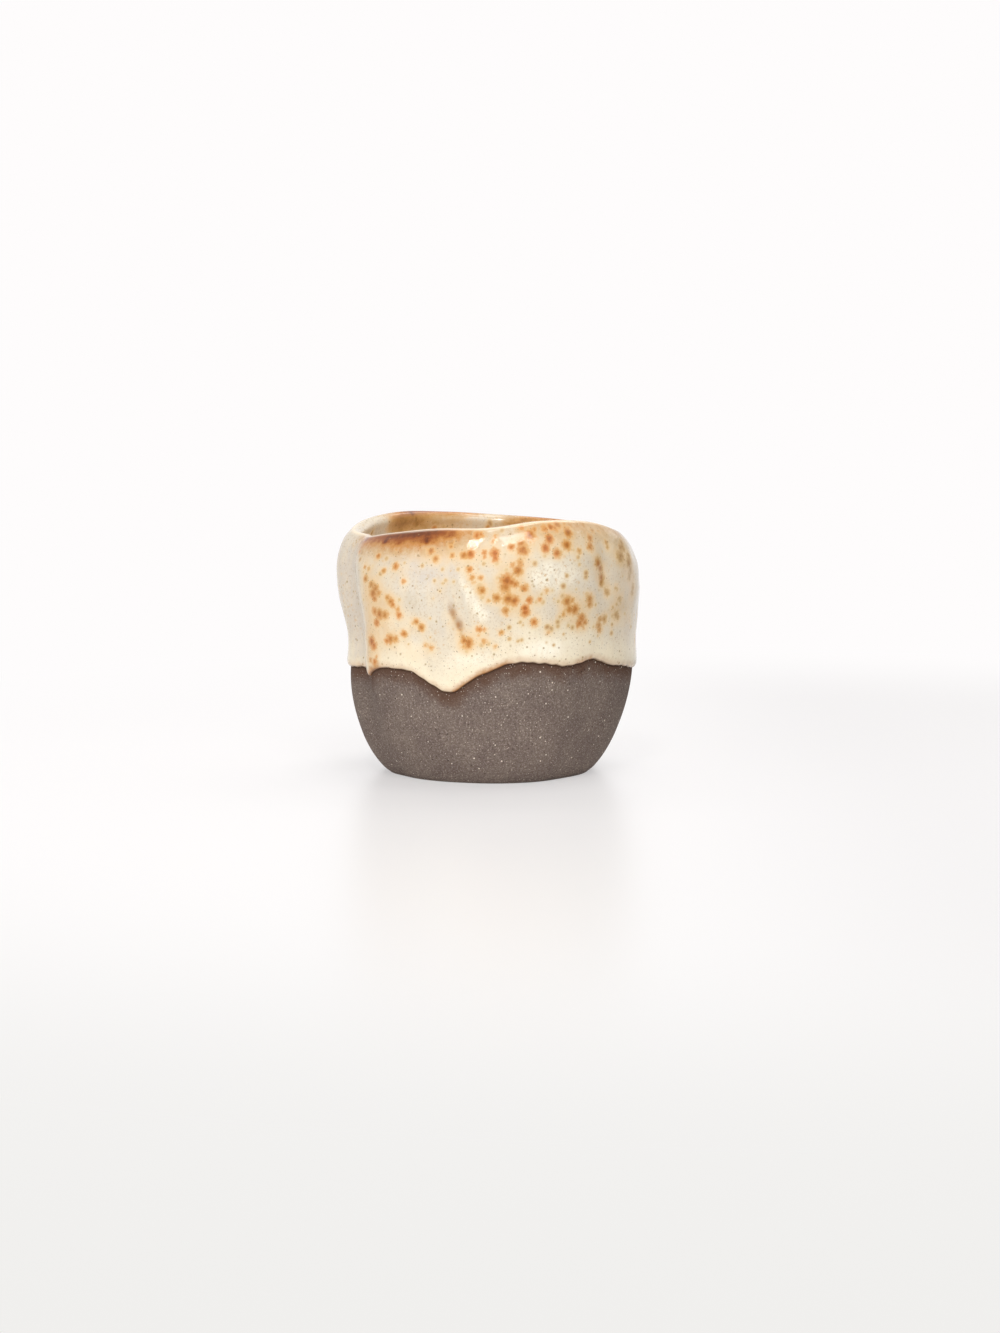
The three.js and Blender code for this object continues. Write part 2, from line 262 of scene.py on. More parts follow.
def drip_height(angle):
    ragged = EDGE_RAGGED * edge_waves.at(angle, 0)
    return GLAZE_LINE + DRIP_SWING * around(DRIP_SHARES, angle) + ragged


def crest(angle):
    """How the arc of the crest starts, and its middle."""
    shoulder = wall_radius(angle, SHOULDER_TOP)
    lean = np.arctan2(wall_radius(angle, SHOULDER_TOP - CREST_RADIUS) - shoulder, CREST_RADIUS)
    return lean, shoulder - CREST_RADIUS * np.cos(lean), SHOULDER_TOP - CREST_RADIUS * np.sin(lean)


def inside_radius(angle, height):
    _, middle, top = crest(angle)
    at_top = wall_radius(angle, top, PINCH_SPREAD_SHARE) - (middle - CREST_RADIUS)
    below = lerp(WALL_AT_FLOOR, WALL_AT_BELLY, smoothstep(height, BOWL_MIDDLE, BELLY_HEIGHT))
    thinning = smoothstep(height, top - RIM_TAPER, top)
    return wall_radius(angle, height, PINCH_SPREAD_SHARE) - lerp(below, at_top, thinning)


# The section, one stretch at a time. Each gives points, the glaze's thickness over them, and how far they
# are along the run, which is the height outside and goes on over the crest and down the inside.

ANGLES = np.linspace(0, FULL_TURN, COLUMNS, endpoint=False)[None, :]


def steps(count, first=0.0):
    return np.linspace(first, 1, count)[:, None]


def foot_stretch():
    share = steps(FOOT_ROWS + 1)[1:]
    radius = (wall_radius(ANGLES, 0 * ANGLES) - FOOT_RING_WIDTH) * share
    return point(ANGLES, radius, FOOT_HOLLOW * (1 - smoothstep(share, 0, 1)))


def outside(height):
    return point(ANGLES, wall_radius(ANGLES, height), height)


def inside(height):
    return point(ANGLES, inside_radius(ANGLES, height), height)


def bare_heights():
    share = steps(BARE_ROWS)
    return drip_height(ANGLES) * (BARE_EVENNESS * share + (1 - BARE_EVENNESS) * share ** 2)


def dipped_heights(rows):
    return lerp(drip_height(ANGLES), SHOULDER_TOP, rows)


def bead_rows():
    """Rows of the dipped wall, closer together over the roll at its edge."""
    roll = steps(BEAD_ROWS + 1)[:-1] ** 2 * BEAD_ROUND
    edge = drip_height(ANGLES)
    wall = lerp(edge + BEAD_ROUND, SHOULDER_TOP, steps(DIPPED_ROWS))
    return np.concatenate([edge + roll, wall])


def dipped_coat(height):
    """The roll stands up round from the clay, eases off above, and the coat thins towards the crest."""
    above = height - drip_height(ANGLES)
    up = np.clip(above / BEAD_ROUND, 0, 1)
    roll = GLAZE_BEAD * (1 - (1 - up) ** BEAD_SQUARENESS) ** (1 / BEAD_SQUARENESS)
    share = np.clip((above - BEAD_LENGTH) / (SHOULDER_TOP - drip_height(ANGLES) - BEAD_LENGTH), 0, 1)
    coat = lerp(GLAZE_COAT, GLAZE_AT_CREST, share ** THINNING_STEEPNESS)
    easing = smoothstep(above, BEAD_ROUND, BEAD_EASED)
    uneven = GLAZE_WAVE * glaze_waves.at(ANGLES, height) * up
    return lerp(roll, coat, easing) + uneven


def crest_stretch(rows):
    """Points of the crest's arc and how far along the run each is."""
    lean, radius, height = crest(ANGLES)
    turn = lerp(lean, np.pi, rows)
    across = radius + CREST_RADIUS * np.cos(turn)
    up = height + CREST_RADIUS * np.sin(turn)
    return point(ANGLES, across, up), SHOULDER_TOP + CREST_RADIUS * (turn - lean)


def crest_length():
    lean, _, _ = crest(ANGLES)
    return CREST_RADIUS * (np.pi - lean)


def lap_heights(rows):
    _, _, top = crest(ANGLES)
    return top - rows * LAP_DEPTH


def lined_heights(rows):
    _, _, top = crest(ANGLES)
    return lerp(top - LAP_DEPTH, BOWL_TOP, rows)


def inside_run(height):
    _, _, top = crest(ANGLES)
    return SHOULDER_TOP + crest_length() + (top - height)


def bowl_stretch(rows):
    turn = (1 - rows) * np.pi / 2
    across = np.sin(turn) ** (2 / BOWL_SQUARENESS)
    sunk = np.cos(turn) ** (2 / BOWL_SQUARENESS)
    height = BOWL_TOP - BOWL_HEIGHT * sunk + 0 * ANGLES
    return point(ANGLES, inside_radius(ANGLES, height) * across, height), sunk, height


def outward(rings):
    """The outward direction at each point of a stretch of rings, from its neighbours."""
    around_it = np.roll(rings, -1, axis=1) - np.roll(rings, 1, axis=1)
    along = np.gradient(rings, axis=0)
    normal = np.cross(around_it, along)
    return normal / np.linalg.norm(normal, axis=-1, keepdims=True)


# Rust spots

# On the front: angle, height in mm, radius in mm, and how strong
FRONT_SPOTS = (
    (223.5, 49.2, 0.6, 0.9), (208, 47.5, 0.6, 0.8), (211, 47.2, 0.5, 0.7), (211, 45.7, 0.5, 0.7),
    (222.5, 46.2, 0.7, 0.9), (227, 45.6, 0.5, 0.5), (231, 47.8, 0.8, 0.8), (232, 44, 0.8, 0.8),
    (236, 44.6, 0.4, 0.4), (226.5, 43.2, 0.6, 0.8), (225.2, 42.6, 0.4, 0.9), (216, 44, 0.6, 0.6),
    (218.5, 43.6, 0.6, 0.6), (217, 41.6, 0.9, 0.8), (236, 41, 0.6, 0.7), (220.5, 40.3, 1, 0.8),
    (222.5, 39.6, 1.2, 0.8), (221.5, 38.6, 1.3, 0.85), (224.5, 38.6, 0.9, 0.7), (222, 37.5, 0.9, 0.8),
    (229, 37.8, 0.8, 0.7), (230.5, 37, 0.9, 0.8), (231.4, 36.3, 0.7, 0.8), (221.8, 34.9, 1, 0.8),
    (224.5, 34.3, 1.2, 0.9), (227.2, 34.2, 1.1, 0.8), (233.6, 35.4, 0.7, 0.6), (234, 34.3, 0.9, 0.7),
    (222.5, 32.5, 1, 0.8), (219, 28.5, 1.3, 0.9), (220.5, 27.7, 1.1, 0.8), (222, 25.4, 0.6, 0.5),
    (221, 24.3, 1, 0.7), (218.5, 24.6, 0.8, 0.6), (229.5, 29.3, 1.1, 0.8), (227.8, 28.9, 0.9, 0.7),
    (231.8, 29.4, 0.9, 0.7), (235.7, 30.5, 0.8, 0.8), (240, 32.8, 0.6, 0.5), (241.2, 33, 0.7, 0.8),
    (243.3, 31.9, 0.8, 0.9), (245, 28.3, 0.7, 0.5), (247.5, 27.9, 0.8, 0.5), (244.3, 48.2, 0.9, 1),
    (246.8, 46.9, 0.9, 0.95), (249, 45.3, 0.8, 0.85), (254.5, 48.6, 0.9, 0.9), (254.8, 47.6, 0.6, 0.8),
    (255.6, 46, 0.6, 0.8), (257.5, 49.6, 0.5, 0.6), (252, 43.3, 0.4, 0.5), (243.7, 44, 0.4, 0.6),
    (258.3, 43.4, 0.4, 0.5), (253.4, 41.2, 0.4, 0.5), (252.3, 40.6, 0.4, 0.4), (256.6, 41, 0.4, 0.4),
    (264.8, 49.7, 1, 0.8), (266.5, 49.8, 0.8, 0.7), (263.2, 47.8, 0.7, 0.9), (260, 46, 0.8, 0.9),
    (262.6, 46.2, 0.9, 0.95), (262.5, 43.3, 0.7, 0.8), (263.6, 41.8, 0.8, 0.6), (264.3, 40.9, 0.6, 0.4),
    (266.6, 41.7, 0.6, 0.7), (266.3, 40.2, 0.5, 0.7), (267.2, 39.3, 0.9, 0.8), (267.3, 38.1, 0.5, 0.5),
    (268, 46.5, 0.6, 0.8), (268, 45.7, 0.7, 0.5), (272, 46.3, 1, 0.9), (272.2, 45.3, 0.8, 0.8),
    (272.8, 44.5, 0.5, 0.6), (271.6, 48.6, 0.6, 0.6), (272.5, 49.4, 0.6, 0.5), (275.3, 50.4, 0.5, 0.5),
    (283.5, 50.4, 0.9, 0.7), (286.5, 48.8, 1.3, 0.9), (288.6, 49.7, 0.6, 0.8), (278.6, 47.1, 0.8, 0.8),
    (282.6, 47.6, 0.9, 0.8), (283, 46.4, 1.2, 0.9), (283.8, 45.9, 0.7, 0.9), (287.3, 43.7, 0.5, 0.6),
    (281.6, 44.2, 0.8, 0.7), (282, 43.6, 0.7, 0.6), (278.8, 43.8, 0.7, 0.6), (280.7, 42.7, 1, 0.95),
    (276.3, 43, 0.5, 0.4), (274, 42.2, 0.5, 0.3), (273, 41.6, 0.5, 0.4), (276.4, 41, 1.3, 1),
    (276, 39.8, 1.2, 0.9), (278.2, 40.6, 0.9, 0.9), (279.8, 40.2, 0.8, 0.8), (283, 39.3, 0.9, 0.8),
    (272.6, 37.8, 0.9, 0.9), (269.5, 37.3, 0.6, 0.5), (277, 37.5, 1.1, 1), (279.2, 37.1, 1, 1),
    (276, 35.3, 0.8, 0.8), (276.3, 34.5, 0.6, 0.5), (285, 37, 0.8, 0.8), (289, 37, 0.6, 0.6),
    (290.2, 36.5, 0.5, 0.5), (287.6, 36.6, 0.4, 0.5), (283.3, 35.5, 0.8, 1), (283.4, 34.7, 0.9, 0.9),
    (286.8, 32.8, 0.9, 0.8), (277.3, 32, 0.4, 0.7), (274.4, 31.1, 0.6, 0.7), (266.3, 31.7, 0.8, 0.7),
    (268.2, 31.7, 0.6, 0.5), (266, 30.7, 0.6, 0.4), (268, 29.4, 0.9, 0.5), (267.2, 28.7, 0.5, 0.6),
    (269.6, 28.9, 0.4, 0.6), (277.4, 29.8, 0.4, 0.6), (272.2, 28.3, 0.6, 0.5), (280.6, 29.3, 0.3, 0.6),
    (282, 29.5, 0.4, 0.5), (256, 34.8, 0.9, 0.4), (256.2, 33.8, 0.8, 0.35), (258.2, 32.5, 0.8, 0.5),
    (258.8, 31.6, 0.8, 0.45), (258.8, 30.6, 0.5, 0.4), (260.3, 29.4, 1, 0.9), (262.3, 29.2, 1, 0.9),
    (262, 28.4, 0.8, 0.95), (259.9, 28.1, 0.6, 0.6), (261.3, 27.4, 0.5, 0.5), (295.6, 49.9, 0.7, 1),
    (293, 49.7, 1.1, 0.7), (297.5, 49.7, 1, 0.7), (294, 47.9, 1, 1), (292, 46.3, 0.9, 0.95),
    (296.6, 45.3, 0.9, 0.9), (302.6, 48.9, 1.1, 1), (301, 46.7, 1, 1), (306, 45.6, 0.7, 0.6),
    (305.2, 44.5, 0.4, 0.6), (308.4, 41.6, 0.5, 0.7), (308.3, 40.9, 0.5, 0.6), (305.6, 43.2, 0.4, 0.4),
    (312.6, 48, 1, 0.75), (311.6, 46.4, 1, 0.75), (315, 43.4, 1.1, 0.85), (316.6, 42.4, 1, 0.8),
    (317.3, 40.7, 1.1, 0.8), (317.2, 39.8, 1, 0.75), (300, 41.2, 0.4, 0.6), (298.5, 39.3, 0.5, 0.7),
    (291.6, 38.5, 0.7, 0.5), (294, 38.6, 0.5, 0.3), (298.4, 37.4, 0.5, 0.7), (300.3, 36.4, 1.1, 0.9),
    (302.4, 36.6, 0.6, 0.7), (296.6, 36.5, 0.4, 0.5), (308.9, 37.7, 0.4, 0.6), (310.4, 36.7, 1.1, 0.7),
    (310.6, 35.8, 1, 0.65), (303.6, 34.9, 1.1, 0.9), (301.2, 34.9, 1, 0.85), (298.8, 34.1, 0.7, 0.6),
    (297.3, 33.6, 0.3, 0.8), (298.6, 33.6, 0.3, 0.7), (307, 33.1, 1.1, 0.8), (306.3, 32.3, 1, 0.8),
    (308.7, 32.3, 0.8, 0.7), (305.3, 31.7, 0.7, 0.6), (308.2, 31.2, 0.6, 0.5), (303, 31.4, 0.5, 0.6),
    (301, 31.8, 0.5, 0.4), (296.3, 32.6, 0.5, 0.6), (296.4, 31.8, 0.5, 0.5), (292, 31.7, 0.5, 0.8),
    (293.4, 31.3, 0.5, 0.8), (292.5, 30.7, 0.7, 0.4), (314.5, 50.2, 1.1, 0.6), (317, 50.1, 1.1, 0.5),
    (319.5, 49.6, 1.2, 0.55), (322.2, 47.4, 0.9, 0.6), (322.3, 46.5, 0.7, 0.5), (333.8, 48.1, 1.2, 0.65),
    (331.5, 46.9, 1.3, 0.7), (330.5, 45.3, 1.4, 0.7), (328.5, 44.6, 1.3, 0.55), (336, 43.9, 1.4, 0.7),
    (337, 45.4, 1.1, 0.6), (336.5, 41.2, 1.4, 0.55), (337.5, 42.5, 1.4, 0.6), (320.7, 37.9, 1, 0.65),
    (319.4, 38.5, 0.5, 0.5), (340.5, 39, 1.2, 0.5), (340, 37.8, 1.3, 0.5), (326, 38.6, 1.1, 0.4),
    (328.5, 36.4, 1.1, 0.5), (326.5, 35.6, 0.8, 0.4), (324.4, 34.8, 0.8, 0.4), (327, 33.4, 1.2, 0.6),
    (328.2, 32.8, 0.8, 0.6), (324.6, 33.2, 0.5, 0.5), (324.5, 31.5, 0.4, 0.6), (324.3, 29.8, 0.5, 0.6),
    (316.8, 32.6, 0.9, 0.6), (319.6, 32.7, 1, 0.65), (316.4, 31.5, 1, 0.65), (317, 30.7, 0.9, 0.65),
    (313.3, 31.3, 0.4, 0.4), (316, 29.4, 0.3, 0.4), (311.6, 28.4, 0.3, 0.6), (333.5, 47, 1.2, 0.7),
    (329, 45, 1.4, 0.7), (299, 50.3, 1.1, 0.9), (302.5, 50.4, 0.8, 0.6), (315.6, 49.6, 1.2, 0.7),
)
# Strings of them on the back, at the rim and down inside: seed, angles, runs, how many strings, and radii
STRINGS = (
    (3, (345, 538), (27, 50.5), 60, (0.4, 1.4)),
    (4, (0, 360), (52.5, 62), 60, (0.5, 1.1)),
    (5, (0, 360), (60, 84), 34, (0.5, 1.1)),
)
# Faint ones: how many, angles, heights, radii and strengths
FAINT = (110, (206, 550), (27.5, 50), (0.22, 0.45), (0.3, 0.6))
# In a string: how many at most, how far they lean and stray, their sizes and gaps in shares, and strengths
STRING_MOST = 5
STRING_LEAN = 0.5
STRING_STRAY = 0.4
STRING_SIZES = (0.5, 1.1)
STRING_GAPS = (1, 1.9)
STRING_STRENGTHS = (0.5, 1)
DEGREES_PER_MM = 2


def strewn(seed, angles, runs, clusters, sizes):
    """Spots in short leaning strings, the same in each run."""
    rng = np.random.default_rng(seed)
    spots = []
    for _ in range(clusters):
        angle = rng.uniform(*angles)
        run = rng.uniform(*runs)
        lean = rng.normal(0, STRING_LEAN)
        radius = rng.uniform(*sizes)
        for _ in range(rng.integers(1, STRING_MOST + 1)):
            size = radius * rng.uniform(*STRING_SIZES)
            spots.append((angle, run, size, rng.uniform(*STRING_STRENGTHS)))
            step = size * rng.uniform(*STRING_GAPS)
            angle += (lean * step + rng.normal(0, STRING_STRAY)) * DEGREES_PER_MM
            run -= step
    return spots


def drawn_from(seed, count, *ranges):
    """So many rows with a number from each range, the same in each run."""
    rng = np.random.default_rng(seed)
    return [tuple(rng.uniform(*ends) for ends in ranges) for _ in range(count)]


ALL_SPOTS = [*FRONT_SPOTS]
for seed, *string in STRINGS:
    ALL_SPOTS += strewn(SEED + seed, *string)
ALL_SPOTS += drawn_from(SEED + 6, *FAINT)
SPECK_RADIUS = 0.55  # the spots below this size are olive specks, in mm
SPECKS = [spot for spot in ALL_SPOTS if spot[2] < SPECK_RADIUS]
SPOTS = [spot for spot in ALL_SPOTS if spot[2] >= SPECK_RADIUS]
SPOT_VIEW = 7  # no spot or cloud is seen further off than that, in mm
SPOT_GROWTH = 1.24
SPOT_STEEPNESS = 2.9  # how quickly a spot fades past its radius
SPOT_TAIL = 0.1
SPOT_CORE = 0.38  # its darkest core, in shares of its radius, and how much of its strength that takes
CORE_SHARE = 0.38
CLOUD_REACH = 1.7  # the ochre cloud round a spot, in shares of its radius, and a little more, in mm
CLOUD_MORE = 0.45
CLOUD_SHARE = 0.42
ARC_PER_DEGREE = BELLY_RADIUS * math.pi * 2 / FULL_TURN

# Soft patches strewn over the back: their angles, heights, half widths and half heights
PATCH_RANGES = ((345, 555), (26, 49), (1.5, 5), (1.5, 6))


def scattered(seed, strengths, count):
    return drawn_from(seed, count, *PATCH_RANGES, strengths)


# Soft patches of the front: angle, height in mm, half its width and half its height in mm, and how strong
OCHRE_AND_SHADE_PATCHES = (
    (214, 46, 3, 3, 0.35), (219, 38, 2.4, 5, 0.5), (217, 27, 1.8, 6, 0.55), (218, 33, 3, 8, 0.3),
    (227, 37.5, 2, 2.4, 0.2), (240, 32, 2, 1.8, 0.15), (255, 33.5, 1.3, 2.4, 0.25),
    (260.5, 29, 2, 1.6, 0.2), (224, 47.2, 4, 1.8, 0.4), (236, 47.2, 4, 2, 0.4), (247, 46.4, 4, 2.2, 0.5),
    (256, 46.4, 3, 2.4, 0.5), (236, 42.6, 4, 3, 0.25), (251, 38.6, 3, 3, 0.25), (240, 26.8, 5, 2.4, 0.35),
    (221, 30, 4, 5, 0.25), (228, 32, 3, 3, 0.2), (264, 46, 2.4, 1.8, 0.25), (276.5, 39, 2.4, 2.2, 0.1),
    (283, 46.5, 2.4, 2, 0.12), (288, 49.4, 4, 1.2, 0.25), (302.5, 35.5, 2.6, 2, 0.12),
    # Those from 328 to 340 degrees also darken the cup's right side, as painted shade.
    (307, 32.5, 2.2, 1.8, 0.15), (317, 43, 2.2, 4, 0.2), (331, 46, 3, 4, 0.35), (328, 35, 4, 5, 0.2),
    (340, 42, 4, 8, 0.4), (338, 33, 5, 6, 0.35), (312, 49.4, 4, 1.4, 0.2),
    *scattered(SEED + 7, (0.1, 0.4), 24),
)
MILKY_PATCHES = (
    (246, 41, 5, 5.5, 0.9), (250, 34, 3, 5, 0.5), (293, 41.5, 4.6, 3.6, 0.15), (284, 33.4, 3, 2, 0.5),
    (312, 40, 2.6, 7, 0.8), (233, 45, 4, 3, 0.5), (272, 35, 3, 2.4, 0.5), (271, 43.5, 2, 2, 0.6),
    (322, 30, 5, 3.4, 0.4), (240, 29.5, 3, 1.8, 0.5), (262, 38, 2, 4, 0.4), (228, 41, 4, 4, 0.5),
    (296, 47, 4, 2, 0.5), *scattered(SEED + 8, (0.3, 0.9), 12),
)
# Where the glaze is veiled with grey, in the same terms
VEILED_PATCHES = (
    (199, 38, 6, 9, 0.75), (201, 28, 5, 7, 0.6), (275, 34.5, 2.5, 1.8, 0.6), (238, 30.2, 2.4, 1.3, 0.5),
    (252, 31.5, 1.2, 2.6, 0.4), (306, 42, 1.6, 4, 0.2), (238, 43.6, 5, 3, 0.65), (230, 46.4, 5, 2.4, 0.7),
    (244, 46.6, 6, 2.6, 0.9), (255, 46.4, 4, 2.4, 0.8), (250, 40, 4, 3.4, 0.4), (318, 45, 1.8, 4, 0.5),
    (247, 43, 3, 2.4, 0.6), (255, 43.4, 3, 2.2, 0.65), (330, 38, 3, 6, 0.4), (336, 30, 3, 6, 0.4),
    (288, 38, 1.4, 2.6, 0.3), *scattered(SEED + 9, (0.2, 0.7), 12),
)
# Where it is smudged with mauve brown
SMUDGED_PATCHES = (
    (256, 34.9, 1.1, 1.5, 0.8), (258.4, 32.6, 1.2, 1.5, 0.9), (259.6, 30.4, 0.9, 1.2, 0.4),
    (255, 36.6, 0.8, 1.4, 0.3), (275, 35.2, 2, 1.2, 0.35), (240, 31.2, 2.2, 1.2, 0.3),
    *scattered(SEED + 11, (0.1, 0.35), 6),
)
# Where its rust is olive; the broad patch on the cup's right side is partly painted shade
OLIVE_AND_SHADE_PATCHES = (
    (332, 40, 13, 22, 0.95), (218, 40, 4, 14, 0.3), *scattered(SEED + 12, (0.3, 0.9), 8),
)
# Where it is brightest: cream glaze, with a painted highlight along the ridge from 259 to 268 degrees and
# painted light low on the right at 292 degrees
CREAM_AND_LIGHT_PATCHES = (
    (259.6, 41.4, 0.8, 1.5, 0.4), (261.3, 39.8, 1, 1.6, 0.6), (263.2, 38, 1.1, 1.7, 0.7),
    (265.4, 36.2, 1.2, 1.7, 0.65), (267.8, 34.4, 1.4, 1.7, 0.5), (292, 27.6, 6, 2.4, 0.8),
    (292, 41.5, 5, 3.4, 0.75), (303, 41.5, 2.4, 3, 0.35), (264, 26, 5, 2, 0.5), (229, 33, 2, 3, 0.5),
    *scattered(SEED + 10, (0.1, 0.35), 10),
)

# Round the cup: how strongly the rim is rusted
RIM_RUST = (
    (0, 0.35), (30, 0.3), (50, 0.45), (64, 0.6), (76, 0.3), (88, 0.15), (100, 0.45), (112, 0.62),
    (126, 0.76), (134, 0.7), (142, 0.38), (152, 0.1), (162, 0), (190, 0.05), (197, 0.3), (204, 0.55),
    (214, 0.75), (226, 0.92), (236, 1), (247, 0.92), (254, 0.65), (262, 0.35), (270, 0.15), (284, 0.2),
    (300, 0.3), (318, 0.4), (338, 0.5),
)
# Round the cup: how strongly the inside is rusted below it
INSIDE_RUST = (
    (0, 0.3), (30, 0.25), (50, 0.3), (58, 0.58), (66, 0.64), (73, 0.7), (79, 0.6), (85, 0.25), (91, 0.08),
    (98, 0.12), (105, 0.3), (112, 0.38), (119, 0.42), (125, 0.58), (131, 0.66), (137, 0.92), (143, 0.7),
    (149, 0.08), (156, 0), (190, 0), (215, 0.3), (250, 0.35), (280, 0.25), (320, 0.35),
)
RUST_TOP = 49.9 * MM  # up the outside, where the rust is full, how quickly it fades below, and its end
RUST_FADE = 2.8 * MM
RUST_TAIL = 0.09
RUST_INSIDE = 10 * MM  # how far down inside the crest it fades
INSIDE_TURN = 1.5 * MM  # past the crest, where the rust has turned to the olive it has inside
CREST_LINE_TURN = 73  # where along the crest's arc the painted highlight line lies, partly thin pale glaze, in degrees from level
CREST_LINE_WIDTH = 0.36 * MM


def near_spots(spots, run):
    """Each spot in turn: the columns that it touches and how far from it their points are, in mm."""
    run = np.broadcast_to(run, (len(run), COLUMNS)) / MM
    for angle, at, radius, strength in spots:
        across = angle_between(ANGLES[0], angle) * ARC_PER_DEGREE / MM
        columns = np.flatnonzero(np.abs(across) < SPOT_VIEW)
        yield columns, np.hypot(across[columns], run[:, columns] - at), radius, strength


def spot_field(spots, run):
    """How near each point is to the middle of a rust spot: 1 there, 0 beyond its reach."""
    field = np.zeros((len(run), COLUMNS))
    for columns, distance, radius, strength in near_spots(spots, run):
        away = distance / (radius * SPOT_GROWTH)
        core = CORE_SHARE * np.exp(-(away / SPOT_CORE) ** 2)
        disc = (1 - CORE_SHARE) * (1 / (1 + away ** SPOT_STEEPNESS) - SPOT_TAIL) / (1 - SPOT_TAIL)
        field[:, columns] = np.maximum(field[:, columns], strength * (disc + core))
    return field


def cloud_field(run):
    """The ochre clouds: one round each spot, and the listed patches, some of them painted shade."""
    clear = 1 - patch_field(OCHRE_AND_SHADE_PATCHES, run)
    for columns, distance, radius, strength in near_spots(ALL_SPOTS, run):
        away = distance / (CLOUD_REACH * radius + CLOUD_MORE)
        clear[:, columns] *= 1 - CLOUD_SHARE * strength * np.exp(-away ** 2)
    return 1 - clear


def patch_field(patches, run):
    clear = np.ones(np.broadcast(run, ANGLES).shape)
    for angle, at, width, height, strength in patches:
        across = angle_between(ANGLES, angle) * ARC_PER_DEGREE / (width * MM)
        away = across ** 2 + ((run - at * MM) / (height * MM)) ** 2
        clear = clear * (1 - strength * np.exp(-away))
    return 1 - clear


def past_crest_middle(run):
    return run - SHOULDER_TOP - crest_length() / 2


def crest_highlight_line(run):
    """1 along the top of the crest: a painted highlight line, partly where the glaze drew thin and pale."""
    lean, _, _ = crest(ANGLES)
    middle = SHOULDER_TOP + CREST_RADIUS * (math.radians(CREST_LINE_TURN) - lean)
    return np.exp(-((run - middle) / CREST_LINE_WIDTH) ** 2)


def inside_share(run):
    return smoothstep(past_crest_middle(run), 0, INSIDE_TURN)


def rim_rust(run):
    """The rust along the rim, strongest at the crest, outside and in."""
    past_crest = past_crest_middle(run)
    up = np.maximum(np.exp(np.minimum(run - RUST_TOP, 0) / RUST_FADE) - RUST_TAIL, 0) / (1 - RUST_TAIL)
    down = 1 - smoothstep(past_crest, 0, RUST_INSIDE)
    level = lerp(around(RIM_RUST, ANGLES), around(INSIDE_RUST, ANGLES), inside_share(run))
    return np.maximum(level, 0) * up * down


# Meshes

class Skin:
    """A closed mesh of rings of points, with a number or two at each point for its material."""

    def __init__(self, name):
        self.name = name
        self.rings = []
        self.fields = []

    def add(self, rings, **fields):
        shape = rings.shape[:2]
        self.rings.append(rings)
        self.fields.append({name: np.broadcast_to(value, shape) for name, value in fields.items()})

    def values(self, name):
        """A field's numbers at all points, 0 where a stretch doesn't have it."""
        stretches = zip(self.rings, self.fields)
        values = [fields.get(name, np.zeros(rings.shape[:2])).ravel() for rings, fields in stretches]
        return np.concatenate(values).astype(np.float32)

    def build(self, poles, material, node):
        """The poles are a first and a last point, or none if the rings lead round to the first."""
        rings = np.concatenate(self.rings)
        count = len(rings)
        index = np.arange(count * COLUMNS).reshape(count, COLUMNS)
        if poles is None:
            index = np.concatenate([index, index[:1]])
        beside = np.roll(index, -1, axis=1)
        quads = np.stack([index[:-1], beside[:-1], beside[1:], index[1:]], -1).reshape(-1, 4)
        points = rings.reshape(-1, 3)
        faces = quads.tolist()
        if poles is not None:
            first = len(points)
            points = np.concatenate([points, np.array(poles)])
            faces += [(first, b, a) for a, b in zip(index[0], beside[0])]
            faces += [(first + 1, a, b) for a, b in zip(index[-1], beside[-1])]
        mesh = bpy.data.meshes.new(self.name)
        mesh.from_pydata(points.tolist(), [], faces)
        for name in sorted({key for fields in self.fields for key in fields}):
            values = self.values(name)
            if poles is not None:
                values = np.append(values, [values[0], values[-1]])
            mesh.attributes.new(name, "FLOAT", "POINT").data.foreach_set("value", values)
        mesh.shade_smooth()
        mesh.set_sharp_from_angle(angle=math.radians(SHARP_ANGLE))
        mesh.materials.append(material)
        piece = bpy.data.objects.new(self.name, mesh)
        bpy.context.scene.collection.objects.link(piece)
        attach(piece, "root")
        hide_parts(node)
        return piece


def middle_at(height):
    return (AXIS_X, AXIS_Y, height)


HIDDEN_WALL = steps(HIDDEN_WALL_ROWS)
HIDDEN_CREST = steps(HIDDEN_CREST_ROWS + 1)[1:]
HIDDEN_LAP = steps(HIDDEN_LAP_ROWS + 1)[1:]
HIDDEN_LINED = steps(HIDDEN_LINED_ROWS + 1)[1:]
HIDDEN_BOWL = steps(HIDDEN_BOWL_ROWS + 1)[1:-1]


def under_dipped():
    """The clay under the dipped glaze, from the wavy edge to the lap."""
    wall = outside(dipped_heights(HIDDEN_WALL))
    top, _ = crest_stretch(HIDDEN_CREST)
    return np.concatenate([wall, top, inside(lap_heights(HIDDEN_LAP))])


def under_liner():
    """The clay under the liner, from the lap to the middle of the floor."""
    bowl, _, _ = bowl_stretch(HIDDEN_BOWL)
    return np.concatenate([inside(lined_heights(HIDDEN_LINED)), bowl])


def stoneware_body(material):
    skin = Skin("stoneware_body")
    heights = bare_heights()
    skin.add(foot_stretch(), below_edge=GLAZE_LINE)
    skin.add(outside(heights), below_edge=drip_height(ANGLES) - heights)
    skin.add(under_dipped()[1:], below_edge=0)
    skin.add(under_liner(), below_edge=0)
    ends = [middle_at(FOOT_HOLLOW), middle_at(FLOOR_THICKNESS)]
    return skin.build(ends, material, "clay_body")


def rust_fields(run):
    return {
        "spots": spot_field(SPOTS, run),
        "specks": spot_field(SPECKS, run),
        "clouds": cloud_field(run),
        "rim": rim_rust(run),
    }


DIPPED_PATCHES = {
    "milky": MILKY_PATCHES,
    "veiled": VEILED_PATCHES,
    "cream": CREAM_AND_LIGHT_PATCHES,
    "smudged": SMUDGED_PATCHES,
    "olive": OLIVE_AND_SHADE_PATCHES,
}
STEEP_CLIMB = 0.06  # of the edge's shares per degree, where the glaze has drawn thick


